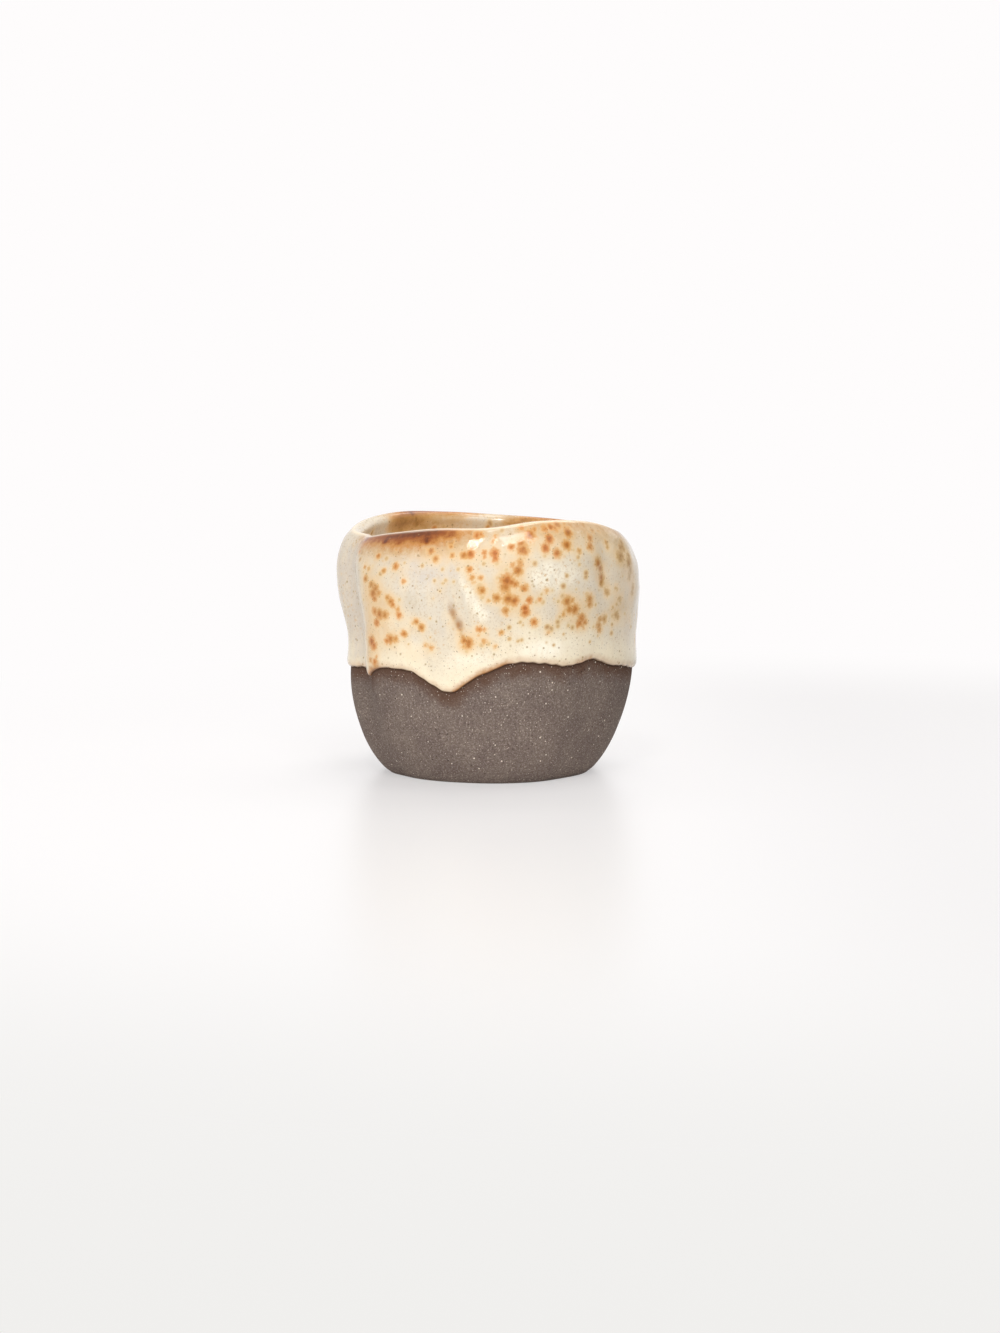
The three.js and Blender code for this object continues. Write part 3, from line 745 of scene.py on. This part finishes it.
def dipped_glaze(material):
    skin = Skin("dipped_glaze")
    heights = bead_rows()
    wall = outside(heights)
    top, top_run = crest_stretch(steps(CREST_ROWS + 1)[1:])
    lap_height = lap_heights(steps(LAP_ROWS + 1)[1:])
    rings = np.concatenate([wall, top, inside(lap_height)])
    run = np.concatenate([heights, top_run, inside_run(lap_height)])
    lapped = lerp(GLAZE_AT_CREST, LINER_COAT, steps(LAP_ROWS + 1)[1:])
    coat = np.concatenate([
        dipped_coat(heights),
        np.broadcast_to(GLAZE_AT_CREST, top_run.shape),
        np.broadcast_to(lapped, lap_height.shape),
    ])
    face = rings + outward(rings) * coat[..., None]
    above = np.maximum(run - drip_height(ANGLES), 0)
    climb = np.gradient(around(DRIP_SHARES, ANGLES), axis=1) * COLUMNS / FULL_TURN
    drawn = smoothstep(climb, 0, STEEP_CLIMB)
    patches = {name: patch_field(table, run) for name, table in DIPPED_PATCHES.items()}
    skin.add(
        face, **rust_fields(run), **patches,
        crest=crest_highlight_line(run), inside=inside_share(run), above_edge=above, drawn=drawn,
    )
    skin.add(under_dipped()[:0:-1])
    return skin.build(None, material, "outer_glaze")


def liner_glaze(material):
    skin = Skin("lining_glaze")
    heights = lined_heights(steps(LINED_ROWS + 1))
    bowl, sunk, bowl_height = bowl_stretch(steps(BOWL_ROWS + 1)[1:-1])
    rings = np.concatenate([inside(heights), bowl])
    run = np.concatenate([inside_run(heights), inside_run(bowl_height)])
    pooled = np.concatenate([np.zeros_like(heights), np.broadcast_to(sunk, bowl_height.shape)])
    uneven = GLAZE_WAVE * glaze_waves.at(ANGLES, run) * smoothstep(run - run[:1], 0, BEAD_LENGTH)
    coat = lerp(LINER_COAT, LINER_POOL, pooled) + uneven * (1 - pooled)
    face = rings + outward(rings) * coat[..., None]
    face[0] = lap_face(rings[0])
    rust = {name: values[::-1] for name, values in rust_fields(run).items()}
    skin.add(face[::-1], **rust, inside=1, pooled=pooled[::-1])
    skin.add(inside(lap_heights(np.ones((1, 1)))))
    skin.add(under_liner())
    ends = [middle_at(FLOOR_THICKNESS + LINER_POOL), middle_at(FLOOR_THICKNESS)]
    return skin.build(ends, material, "liner_glaze")


def lap_face(ring):
    """Where the liner's face meets the dipped glaze's square end."""
    near = inside(lap_heights(np.array([[1 - 1 / LAP_ROWS], [1.0]])))
    return ring + outward(near)[1] * LINER_COAT


# Materials

PATTERNS_APART = 1.0
SMALLEST_DOT = 0.4  # of a pattern's dots, in shares of the largest
DOT_EDGE = 1.15  # where a dot has faded away, in shares of its radius
LINEAR_PART = 0.04045  # up to there an sRGB value rises in a straight line


def colour(red, green, blue):
    """A colour given in sRGB, 0 to 255."""
    def linear(value):
        share = value / 255
        return share / 12.92 if share <= LINEAR_PART else ((share + 0.055) / 1.055) ** 2.4
    return (linear(red), linear(green), linear(blue), 1)


class Nodes:
    """A tree of nodes, added with one short call each."""

    def __init__(self, tree):
        self.tree = tree

    def new(self, kind):
        return self.tree.nodes.new(kind)

    def put(self, socket, value):
        if isinstance(value, bpy.types.NodeSocket):
            self.tree.links.new(value, socket)
        else:
            socket.default_value = value

    def apart(self, vector):
        node = self.new("ShaderNodeSeparateXYZ")
        self.put(node.inputs[0], vector)
        return node.outputs

    def math(self, operation, a, b=0.0):
        node = self.new("ShaderNodeMath")
        node.operation = operation
        self.put(node.inputs[0], a)
        self.put(node.inputs[1], b)
        return node.outputs[0]

    def plus(self, a, b):
        return self.math("ADD", a, b)

    def minus(self, a, b):
        return self.math("SUBTRACT", a, b)

    def times(self, a, b):
        return self.math("MULTIPLY", a, b)

    def most(self, a, b):
        return self.math("MAXIMUM", a, b)

    def swing(self, noise, size):
        """A noise made to swing both ways from zero."""
        return self.plus(self.times(noise, size), -size / 2)

    def between(self, value, low, high):
        """Smoothly from 0 at low to 1 at high."""
        node = self.new("ShaderNodeMapRange")
        node.interpolation_type = "SMOOTHSTEP"
        self.put(node.inputs["Value"], value)
        self.put(node.inputs["From Min"], low)
        self.put(node.inputs["From Max"], high)
        return node.outputs[0]

    def ramp(self, value, low, high, start, end):
        """Evenly from start at low to end at high."""
        node = self.new("ShaderNodeMapRange")
        ends = {"Value": value, "From Min": low, "From Max": high, "To Min": start, "To Max": end}
        for name, given in ends.items():
            self.put(node.inputs[name], given)
        return node.outputs[0]

    def spread(self, value, start, end):
        """From 0 to 1 spread over start to end."""
        return self.ramp(value, 0, 1, start, end)

    def seen_directly(self):
        """1 for rays from the camera, in reflections and through glass."""
        path = self.new("ShaderNodeLightPath").outputs
        either = self.most(path["Is Camera Ray"], path["Is Glossy Ray"])
        return self.most(either, path["Is Transmission Ray"])


class Finish(Nodes):
    """A material and its nodes."""

    def __init__(self, name):
        self.material = bpy.data.materials.new(name)
        self.material.use_nodes = True
        super().__init__(self.material.node_tree)
        self.shader = self.tree.nodes["Principled BSDF"]
        self.place = self.new("ShaderNodeTexCoord").outputs["Object"]

    def attribute(self, name):
        node = self.new("ShaderNodeAttribute")
        node.attribute_name = name
        return node.outputs["Fac"]

    def blend(self, factor, a, b):
        node = self.new("ShaderNodeMix")
        node.data_type = "RGBA"
        sockets = {socket.identifier: socket for socket in node.inputs}
        self.put(sockets["Factor_Float"], factor)
        self.put(sockets["A_Color"], a)
        self.put(sockets["B_Color"], b)
        return next(socket for socket in node.outputs if socket.identifier == "Result_Color")

    def laid(self, base, where, share, over):
        """A colour laid over a base where something is, up to a share of it."""
        return self.blend(self.times(where, share), base, over)

    def graded(self, level, base, stops):
        """Colours laid over a base as a level rises: where each starts and is full, and its share."""
        for low, high, share, over in stops:
            base = self.laid(base, self.between(level, low, high), share, over)
        return base

    def moved(self, pattern, tall=1.0):
        """The place, moved so that each pattern falls in a part of its own, and drawn out upwards."""
        node = self.new("ShaderNodeVectorMath")
        node.operation = "MULTIPLY_ADD"
        self.put(node.inputs[0], self.place)
        node.inputs[1].default_value = (1, 1, 1 / tall)
        node.inputs[2].default_value = (pattern * PATTERNS_APART,) * 3
        return node.outputs[0]

    def noise(self, size, detail=2.0, roughness=0.5, pattern=0.0, tall=1.0):
        """Smooth noise with patches of about that size."""
        node = self.new("ShaderNodeTexNoise")
        self.put(node.inputs["Vector"], self.moved(pattern, tall))
        node.inputs["Scale"].default_value = 1 / size
        node.inputs["Detail"].default_value = detail
        node.inputs["Roughness"].default_value = roughness
        return node.outputs["Fac"]

    def dots(self, spacing, radius, share, pattern=0.0, whole=0.75):
        """Dots in a share of the cells, each up to that radius, and whole out to a share of it."""
        node = self.new("ShaderNodeTexVoronoi")
        self.put(node.inputs["Vector"], self.moved(pattern))
        node.inputs["Scale"].default_value = 1 / spacing
        split = self.new("ShaderNodeSeparateColor")
        self.put(split.inputs[0], node.outputs["Color"])
        size = self.spread(split.outputs[1], SMALLEST_DOT * radius / spacing, radius / spacing)
        near = self.math("DIVIDE", node.outputs["Distance"], size)
        chosen = self.math("LESS_THAN", split.outputs[0], share)
        return self.times(self.between(near, DOT_EDGE, whole), chosen)

    def relief(self, *layers):
        """Bumps one on the other: where a layer is 1, it stands out by its height."""
        normal = None
        for level, height in layers:
            node = self.new("ShaderNodeBump")
            node.inputs["Distance"].default_value = height
            self.put(node.inputs["Height"], level)
            if normal is not None:
                self.put(node.inputs["Normal"], normal)
            normal = node.outputs[0]
        self.put(self.shader.inputs["Normal"], normal)

    def surface(self, base, roughness):
        self.put(self.shader.inputs["Base Color"], base)
        self.put(self.shader.inputs["Roughness"], roughness)


# Stoneware: sizes of its patterns, how far each stands out, and its dots' spacing and largest radius
STONE_MOTTLE = 6 * MM
GRAIN = 0.45 * MM
SAND = 0.3 * MM
GRAIN_RELIEF = 0.1 * MM
SAND_RELIEF = 0.04 * MM
GROG_RELIEF = 0.03 * MM
PIT_RELIEF = -0.08 * MM
FINE_DOTS = (0.52 * MM, 0.115 * MM)
GROG_DOTS = (1.1 * MM, 0.19 * MM)
PIT_DOTS = (0.8 * MM, 0.19 * MM)
# Below the glaze's edge, where its brown halo and dark line start and are full
HALO_ENDS = (2.4 * MM, -1.6 * MM)
LINE_ENDS = (0.5 * MM, 0.05 * MM)
HALO_PATCH = 3 * MM  # the size of the halo's ragged patches, and how ragged it is
HALO_RAGGED = 4 * MM
WORN_ENDS = (0.5 * MM, 0.1 * MM)  # how high the foot is worn pale, and worn in full


def stoneware():
    f = Finish("stoneware")
    mottle = f.noise(STONE_MOTTLE, 3)
    grain = f.noise(GRAIN, 4, 0.75)
    sand = f.noise(SAND, 2, 0.6, 0.1)
    body = f.blend(f.between(mottle, 0.3, 0.7), colour(115, 101, 94), colour(127, 113, 104))
    body = f.blend(f.between(grain, 0.4, 0.6), f.blend(0.42, body, colour(70, 57, 50)), body)
    body = f.laid(body, f.between(sand, 0.5, 0.66), 0.4, colour(180, 165, 153))

    below = f.attribute("below_edge")
    uneven = f.times(f.noise(HALO_PATCH, 3, 0.6, 0.2), HALO_RAGGED)
    body = f.laid(body, f.between(f.minus(below, uneven), *HALO_ENDS), 0.8, colour(88, 60, 44))
    body = f.laid(body, f.between(below, *LINE_ENDS), 0.6, colour(60, 42, 31))

    fine = f.dots(*FINE_DOTS, 0.6)
    grog = f.dots(*GROG_DOTS, 0.34, 0.3)
    pits = f.dots(*PIT_DOTS, 0.35, 0.5)
    body = f.laid(body, fine, 0.7, colour(216, 201, 186))
    body = f.laid(body, grog, 0.9, colour(236, 224, 208))
    body = f.laid(body, pits, 0.6, colour(50, 40, 34))

    worn = f.between(f.apart(f.place)["Z"], *WORN_ENDS)
    body = f.laid(body, worn, 0.35, colour(150, 136, 125))
    f.surface(body, f.spread(grain, 0.72, 0.95))
    f.shader.inputs["Specular IOR Level"].default_value = 0.12
    gritty = f.plus(f.times(grog, 0.6), fine)
    f.relief((grain, GRAIN_RELIEF), (sand, SAND_RELIEF), (gritty, GROG_RELIEF), (pits, PIT_RELIEF))
    return f.material


# Rust in either glaze: sizes of its patterns, and its pepper's spacing and largest radius
CLOUD_DRIFT = 1.8 * MM
WARM_PATCH = 6 * MM
SPOT_WOBBLE = 0.6 * MM
RIM_MOTTLE = 1.1 * MM
PEPPER_DOTS = (0.48 * MM, 0.13 * MM)


def rusted(f, base):
    """The clouds, rust spots and rusted rim over a glaze's colour, and how much rust there is."""
    drift = f.swing(f.noise(CLOUD_DRIFT, 3, 0.6, 0.5), 0.5)
    clouds = f.attribute("clouds")
    cloudy = f.plus(clouds, f.times(drift, f.between(clouds, 0, 0.4)))
    body = f.graded(cloudy, base, (
        (0.05, 0.6, 0.6, colour(234, 208, 168)),
        (0.35, 0.95, 0.6, colour(220, 178, 118)),
    ))

    body = f.graded(f.attribute("specks"), body, (
        (0.02, 0.2, 0.6, colour(230, 208, 166)),
        (0.12, 0.34, 0.7, colour(206, 166, 108)),
        (0.3, 0.6, 0.7, colour(170, 118, 64)),
    ))

    warm = f.between(f.noise(WARM_PATCH, 1, 0.5, 0.6), 0.35, 0.65)
    ring = f.blend(warm, colour(212, 158, 88), colour(214, 148, 78))
    core = f.blend(warm, colour(188, 118, 44), colour(192, 106, 36))
    # On the cup's right side the olive tone is partly painted shade.
    olive = f.attribute("olive")
    wobble = f.swing(f.noise(SPOT_WOBBLE, 3, 0.65, 0.4), 0.6)
    spots = f.attribute("spots")
    rust = f.plus(spots, f.times(wobble, f.between(spots, 0, 0.3)))
    body = f.graded(rust, body, (
        (0.02, 0.3, 0.75, colour(236, 208, 164)),
        (0.15, 0.5, 0.9, f.blend(olive, ring, colour(196, 160, 104))),
        (0.46, 0.76, 0.85, f.blend(olive, core, colour(164, 120, 62))),
        (0.74, 1, 0.65, f.blend(olive, colour(148, 82, 26), colour(124, 84, 36))),
    ))

    mottle = f.swing(f.noise(RIM_MOTTLE, 5, 0.7, 0.7), 0.6)
    rim = f.attribute("rim")
    inside = f.attribute("inside")
    band = f.plus(rim, f.times(mottle, f.between(rim, 0, 0.3)))
    band = f.plus(band, f.times(f.times(rust, 0.5), f.between(rim, 0, 0.25)))
    clear = f.times(f.between(rust, 0.1, 0.5), f.between(rim, 0.6, 0.25))
    band = f.times(band, f.spread(clear, 1, 0.1))
    pale = f.blend(olive, colour(204, 166, 118), colour(204, 182, 146))
    ochre = f.blend(olive, colour(196, 134, 66), colour(186, 154, 104))
    body = f.graded(band, body, (
        (0.02, 0.3, 0.75, f.blend(inside, pale, colour(222, 188, 140))),
        (0.18, 0.58, 1, f.blend(inside, ochre, colour(204, 158, 98))),
        (0.48, 0.82, 0.95, f.blend(inside, colour(148, 76, 16), colour(176, 128, 72))),
        (0.76, 1.05, 0.9, f.blend(inside, colour(100, 46, 10), colour(120, 86, 46))),
    ))
    pepper = f.dots(*PEPPER_DOTS, f.spread(clouds, 0.04, 0.62), 0.8, 0.4)
    body = f.laid(body, pepper, 0.7, colour(116, 76, 36))
    return body, f.most(f.between(rust, 0.1, 0.5), f.between(band, 0.2, 0.8))


# Specks and freckles: sizes of their crowds, their spacing and largest radius, and freckles' ragged patches
SPECK_CROWD = 5 * MM
SPECK_DOTS = (1.1 * MM, 0.4 * MM)
FRECKLE_CROWD = 7 * MM
FRECKLE_DOTS = (0.95 * MM, 0.44 * MM)
FRECKLE_RAGGED = 0.5 * MM


def specked(f, base):
    """Small olive specks with soft edges, in crowds."""
    crowd = f.between(f.noise(SPECK_CROWD, 2, 0.5, 3.1), 0.42, 0.6)
    specks = f.dots(*SPECK_DOTS, f.spread(crowd, 0.12, 0.55), 3.2, 0.1)
    return f.graded(specks, base, (
        (0.02, 0.5, 0.55, colour(202, 182, 140)),
        (0.4, 0.95, 0.55, colour(150, 116, 72)),
    ))


def freckled(f, base, where):
    """Ragged ochre freckles, in crowds."""
    crowd = f.between(f.noise(FRECKLE_CROWD, 1, 0.5, 0.4), 0.42, 0.62)
    dots = f.dots(*FRECKLE_DOTS, f.spread(crowd, 0.15, 0.65), 1.2)
    ragged = f.times(dots, f.between(f.noise(FRECKLE_RAGGED, 2, 0.6, 0.2), 0.35, 0.6))
    return f.laid(base, f.times(ragged, where), 0.6, colour(210, 172, 116))


# Dipped glaze: where its upper colour, stain, dark line and pinholes above the edge start and are full
UPPER_ENDS = (8 * MM, 19 * MM)
STAIN_ENDS = (1.1 * MM, -0.7 * MM)
EDGE_LINE_ENDS = (0.45 * MM, 0.02 * MM)
PEPPERED_ENDS = (16 * MM, 3 * MM)
# How ragged the upper colour and the stain are, and the size of the ragged patches
UPPER_PATCH = 9 * MM
UPPER_RAGGED = 14 * MM
STAIN_PATCH = 1.3 * MM
STAIN_RAGGED = 1.5 * MM
# Sizes of its other patterns, how far each stands out, and its dots' spacing and largest radius
PATCH_DRIFT = 2.4 * MM
STREAK = 1.5 * MM
VEIL = 2.6 * MM
GRIT = 0.45 * MM
PEEL = 2.8 * MM
PEEL_RELIEF = 0.025 * MM
RUST_RELIEF = -0.012 * MM
PINHOLE_RELIEF = -0.02 * MM
PINHOLE_DOTS = (0.55 * MM, 0.1 * MM)
FLECK_DOTS = (1.2 * MM, 0.26 * MM)


def dipped_ground(f, above):
    """The dipped glaze's own colour without its rust, and the painted light in its cream patches."""
    ragged = f.times(f.noise(UPPER_PATCH, 2, 0.5, 0.8), UPPER_RAGGED)
    upper = f.between(f.plus(above, ragged), *UPPER_ENDS)
    drift = f.swing(f.noise(PATCH_DRIFT, 3, 0.6, 0.2), 0.8)
    milky = f.between(f.plus(f.attribute("milky"), drift), 0.05, 0.85)
    veiled = f.between(f.plus(f.attribute("veiled"), drift), 0.1, 0.8)
    # The cream patches are partly painted light: a painted highlight along the ridge and a painted light
    # patch low on the right.
    cream = f.between(f.plus(f.attribute("cream"), f.times(drift, 0.5)), 0.1, 0.8)
    base = f.laid(colour(244, 231, 203), upper, 0.8, colour(216, 203, 183))
    base = f.laid(base, milky, 0.8, colour(221, 212, 196))
    base = f.laid(base, veiled, 0.75, colour(211, 200, 188))
    base = f.blend(cream, base, colour(252, 244, 224))
    streaks = f.between(f.noise(STREAK, 3, 0.6, 0.9, 3), 0.42, 0.68)
    base = f.laid(base, streaks, 0.35, colour(236, 219, 188))
    veil = f.between(f.noise(VEIL, 3, 0.55, 1.9, 2.5), 0.48, 0.72)
    base = f.laid(base, f.times(veil, upper), 0.5, colour(212, 200, 180))
    grit = f.between(f.noise(GRIT, 3, 0.75, 0.3), 0.5, 0.7)
    base = f.laid(base, grit, f.spread(upper, 0.2, 0.75), colour(200, 176, 142))
    base = freckled(f, base, f.times(upper, f.spread(f.between(milky, 0.7, 0.2), 0.35, 1)))
    return specked(f, base), drift


def dipped():
    f = Finish("dipped_glaze")
    above = f.attribute("above_edge")
    base, drift = dipped_ground(f, above)
    body, rust = rusted(f, base)
    smudged = f.between(f.plus(f.attribute("smudged"), f.times(drift, 0.6)), 0.1, 0.9)
    body = f.laid(body, smudged, 0.7, colour(158, 114, 78))

    peppered = f.between(above, *PEPPERED_ENDS)
    pinholes = f.dots(*PINHOLE_DOTS, f.spread(peppered, 0.12, 0.55), 1.1)
    flecks = f.dots(*FLECK_DOTS, 0.26, 1.3)
    body = f.laid(body, pinholes, 0.75, colour(104, 66, 24))
    body = f.laid(body, flecks, 0.55, colour(150, 112, 62))

    drawn = f.spread(f.attribute("drawn"), 0.4, 1)
    ragged = f.times(f.noise(STAIN_PATCH, 3, 0.6, 1.5), STAIN_RAGGED)
    stained = f.times(f.between(f.minus(above, ragged), *STAIN_ENDS), drawn)
    body = f.laid(body, stained, 0.9, colour(184, 122, 54))
    body = f.laid(body, f.between(above, *EDGE_LINE_ENDS), 0.75, colour(96, 62, 40))
    # A painted highlight along the top of the crest, partly the glaze drawn thin and pale there.
    body = f.laid(body, f.attribute("crest"), 0.85, colour(252, 230, 196))

    f.surface(body, f.plus(f.spread(rust, 0.03, 0.06), f.times(pinholes, 0.3)))
    f.shader.inputs["Specular IOR Level"].default_value = 0.42
    peel = f.noise(PEEL, 1, 0.5, 1.7)
    f.relief((peel, PEEL_RELIEF), (rust, RUST_RELIEF), (pinholes, PINHOLE_RELIEF))
    return f.material


# Liner glaze: sizes of its patterns, and its pinholes' spacing and largest radius
LINER_PATCH = 8 * MM
LINER_VEIL = 3.2 * MM
LINER_PEEL_RELIEF = 0.04 * MM
LINER_PINHOLE_DOTS = (0.8 * MM, 0.14 * MM)


def liner():
    f = Finish("liner_glaze")
    pooled = f.attribute("pooled")
    patches = f.between(f.noise(LINER_PATCH, 3, 0.55, 2.1), 0.35, 0.65)
    base = f.blend(patches, colour(252, 240, 226), colour(248, 232, 214))
    veil = f.between(f.noise(LINER_VEIL, 3, 0.6, 2.9), 0.45, 0.7)
    base = f.laid(base, veil, 0.45, colour(228, 212, 190))
    base = f.laid(base, f.between(pooled, 0.55, 0.98), 0.6, colour(214, 202, 176))
    base = freckled(f, base, f.spread(f.between(pooled, 0.9, 0.3), 0.3, 0.8))
    body, rust = rusted(f, base)
    pinholes = f.dots(*LINER_PINHOLE_DOTS, 0.3, 2.3)
    body = f.laid(body, pinholes, 0.75, colour(96, 62, 26))
    f.surface(body, f.plus(f.spread(rust, 0.07, 0.12), f.times(pinholes, 0.3)))
    f.relief((f.noise(PEEL, 1, 0.5, 2.5), LINER_PEEL_RELIEF), (pinholes, PINHOLE_RELIEF))
    return f.material


# Studio

FLOOR_RADIUS = 1.6
FLOOR_CORNERS = 96
FLOOR_ROUGHNESS = 0.32
FLOOR_POLISH = 0.5
PLAIN_AT_CUP = 0.5
PLAIN_WHITE = (254, 252, 252)
SHADED_MIDDLE = (0.05, -0.02, 0)  # round there the floor keeps shadows, in full up to the first radius
SHADED_RADII = (0.13, 0.26)
PAINTED_DIM_ENDS = (0.005, 0.09)  # towards the right, where the floor is painted darker as painted shade, and is so in full
PAINTED_DIM_TO_CAMERA = 0.24  # and how much of that painted shade the camera sees
FRONT_NEAR = (-0.03, -0.36)  # towards the front, where the floor grows grey and is so in full
FRONT_FAR = (-0.75, -0.4)  # and the same from the front's far end
WORLD_LEVEL = 0.22
RIGHT_SIDE_ENDS = (0.45, 0.95)  # where the world darkens towards the right, and is dark in full
RIGHT_SIDE_LEVEL = 0.12
LAMP_DISTANCE = 1.5
# Each lamp: azimuth and elevation in degrees, width and depth in metres, level, and turn in degrees
LAMPS = (
    ("window", 223, 14, 1.2, 1.1, 0.19, 0),
    ("key_softbox", 260.6, 47.5, 0.17, 0.5, 0.24, 10),
    ("fill_softbox", 285, 50, 0.44, 0.56, 0.2, 0),
    ("fill_edge", 283, 37.4, 0.44, 0.06, 0.05, 0),
    ("front_softbox", 292, 27, 1.4, 1, 0.15, 0),
    ("top_strip", 88, 62, 1.8, 0.2, 0.2, 0),
    ("back_softbox", 30, 42, 1.7, 1.5, 0.28, 0),
    ("overhead", 0, 84, 0.5, 0.5, 0.25, 0),
)


def mixed(f, share, first, second):
    """Two surfaces mixed, with that share of the second."""
    node = f.new("ShaderNodeMixShader")
    f.put(node.inputs["Fac"], share)
    f.put(node.inputs[1], first.outputs[0])
    f.put(node.inputs[2], second.outputs[0])
    return node


def tinted(f, kind, tint):
    node = f.new(kind)
    f.put(node.inputs["Color"], tint)
    return node


def floor_finish():
    """Pale and half polished round the cup, where it keeps the shadow, painted darker towards the right as
    painted shade, and plain white further out.
    """
    f = Finish("studio_floor")
    f.tree.nodes.remove(f.shader)
    place = f.apart(f.place)
    camera_ray = f.new("ShaderNodeLightPath").outputs["Is Camera Ray"]
    painted_dim = f.times(f.between(place["X"], *PAINTED_DIM_ENDS), f.spread(camera_ray, 1, PAINTED_DIM_TO_CAMERA))
    front = f.times(f.between(place["Y"], *FRONT_NEAR), f.between(place["Y"], *FRONT_FAR))
    away = f.new("ShaderNodeVectorMath")
    away.operation = "DISTANCE"
    away.inputs[1].default_value = SHADED_MIDDLE
    f.put(away.inputs[0], f.place)
    far = f.between(away.outputs["Value"], *SHADED_RADII)

    # Painted shade: darker towards the right, so that less light bounces from the floor onto the cup's
    # right side.
    matt_tint = f.blend(painted_dim, colour(238, 236, 235), colour(124, 123, 122))
    gloss_tint = f.blend(painted_dim, colour(252, 252, 252), colour(176, 175, 175))
    diffuse = tinted(f, "ShaderNodeBsdfDiffuse", matt_tint)
    gloss = tinted(f, "ShaderNodeBsdfGlossy", gloss_tint)
    gloss.inputs["Roughness"].default_value = FLOOR_ROUGHNESS
    plain = tinted(f, "ShaderNodeEmission", f.blend(front, colour(*PLAIN_WHITE), colour(240, 239, 237)))
    polished = mixed(f, FLOOR_POLISH, diffuse, gloss)
    whole = mixed(f, f.times(f.spread(far, PLAIN_AT_CUP, 1), f.seen_directly()), polished, plain)
    f.put(f.tree.nodes["Material Output"].inputs["Surface"], whole.outputs[0])
    return f.material


def studio_floor():
    turns = np.linspace(0, 2 * np.pi, FLOOR_CORNERS, endpoint=False)
    rim = [(FLOOR_RADIUS * math.cos(t), FLOOR_RADIUS * math.sin(t), 0) for t in turns]
    mesh = bpy.data.meshes.new("studio_floor")
    mesh.from_pydata(rim, [], [tuple(range(len(rim)))])
    floor = bpy.data.objects.new("studio_floor", mesh)
    bpy.context.scene.collection.objects.link(floor)
    mesh.materials.append(floor_finish())


def world_light():
    """Light all round, weaker from the right, which shows as plain white behind the cup."""
    world = bpy.data.worlds.new("studio")
    bpy.context.scene.world = world
    world.use_nodes = True
    n = Nodes(world.node_tree)
    background = n.tree.nodes["Background"]
    background.inputs["Color"].default_value = colour(*PLAIN_WHITE)
    direction = n.apart(n.new("ShaderNodeTexCoord").outputs["Generated"])
    side = n.ramp(direction["X"], *RIGHT_SIDE_ENDS, 1, RIGHT_SIDE_LEVEL)
    camera_ray = n.new("ShaderNodeLightPath").outputs["Is Camera Ray"]
    level = n.times(n.spread(n.seen_directly(), WORLD_LEVEL, 1), n.most(camera_ray, side))
    n.put(background.inputs["Strength"], level)


def lamp(name, azimuth, elevation, width, depth, level, turned):
    """A softbox aimed at the cup. A white card that faced it would have that brightness from it alone."""
    light = bpy.data.lights.new(name, "AREA")
    light.shape = "RECTANGLE"
    light.size = width
    light.size_y = depth
    light.energy = level * math.pi ** 2 * LAMP_DISTANCE ** 2
    around_it = math.radians(azimuth)
    up = math.radians(elevation)
    lamp_object = bpy.data.objects.new(name, light)
    lamp_object.location = (
        LAMP_DISTANCE * math.cos(up) * math.cos(around_it),
        LAMP_DISTANCE * math.cos(up) * math.sin(around_it),
        LAMP_DISTANCE * math.sin(up) + CUP_HEIGHT / 2,
    )
    aim = Euler((math.pi / 2 - up, 0, around_it + math.pi / 2)).to_matrix()
    lamp_object.rotation_euler = (aim @ Matrix.Rotation(math.radians(turned), 3, "Z")).to_euler()
    bpy.context.scene.collection.objects.link(lamp_object)


def studio():
    studio_floor()
    world_light()
    for row in LAMPS:
        lamp(*row)


# Camera, at the photograph's place

CAMERA_DISTANCE = 560 * MM
CAMERA_HEIGHT = 82 * MM
CAMERA_DOWN = 5.81
SENSOR = 36
FRAME_HEIGHT = 1333
FOCAL_PIXELS = 2730
PIXELS_LEFT = 10.5
PIXELS_UP = 18.5
CLIP_START = 10 * MM


def camera():
    lens = bpy.data.cameras.new("camera")
    lens.sensor_width = SENSOR
    lens.lens = SENSOR * FOCAL_PIXELS / FRAME_HEIGHT
    lens.shift_x = PIXELS_LEFT / FRAME_HEIGHT
    lens.shift_y = -PIXELS_UP / FRAME_HEIGHT
    lens.clip_start = CLIP_START
    eye = bpy.data.objects.new("camera", lens)
    eye.location = (AXIS_X, AXIS_Y - CAMERA_DISTANCE, CAMERA_HEIGHT)
    eye.rotation_euler = (math.radians(90 - CAMERA_DOWN), 0, 0)
    bpy.context.scene.collection.objects.link(eye)
    bpy.context.scene.camera = eye


camera()
studio()
stoneware_body(stoneware())
dipped_glaze(dipped())
liner_glaze(liner())
bpy.context.scene.view_settings.view_transform = "Standard"
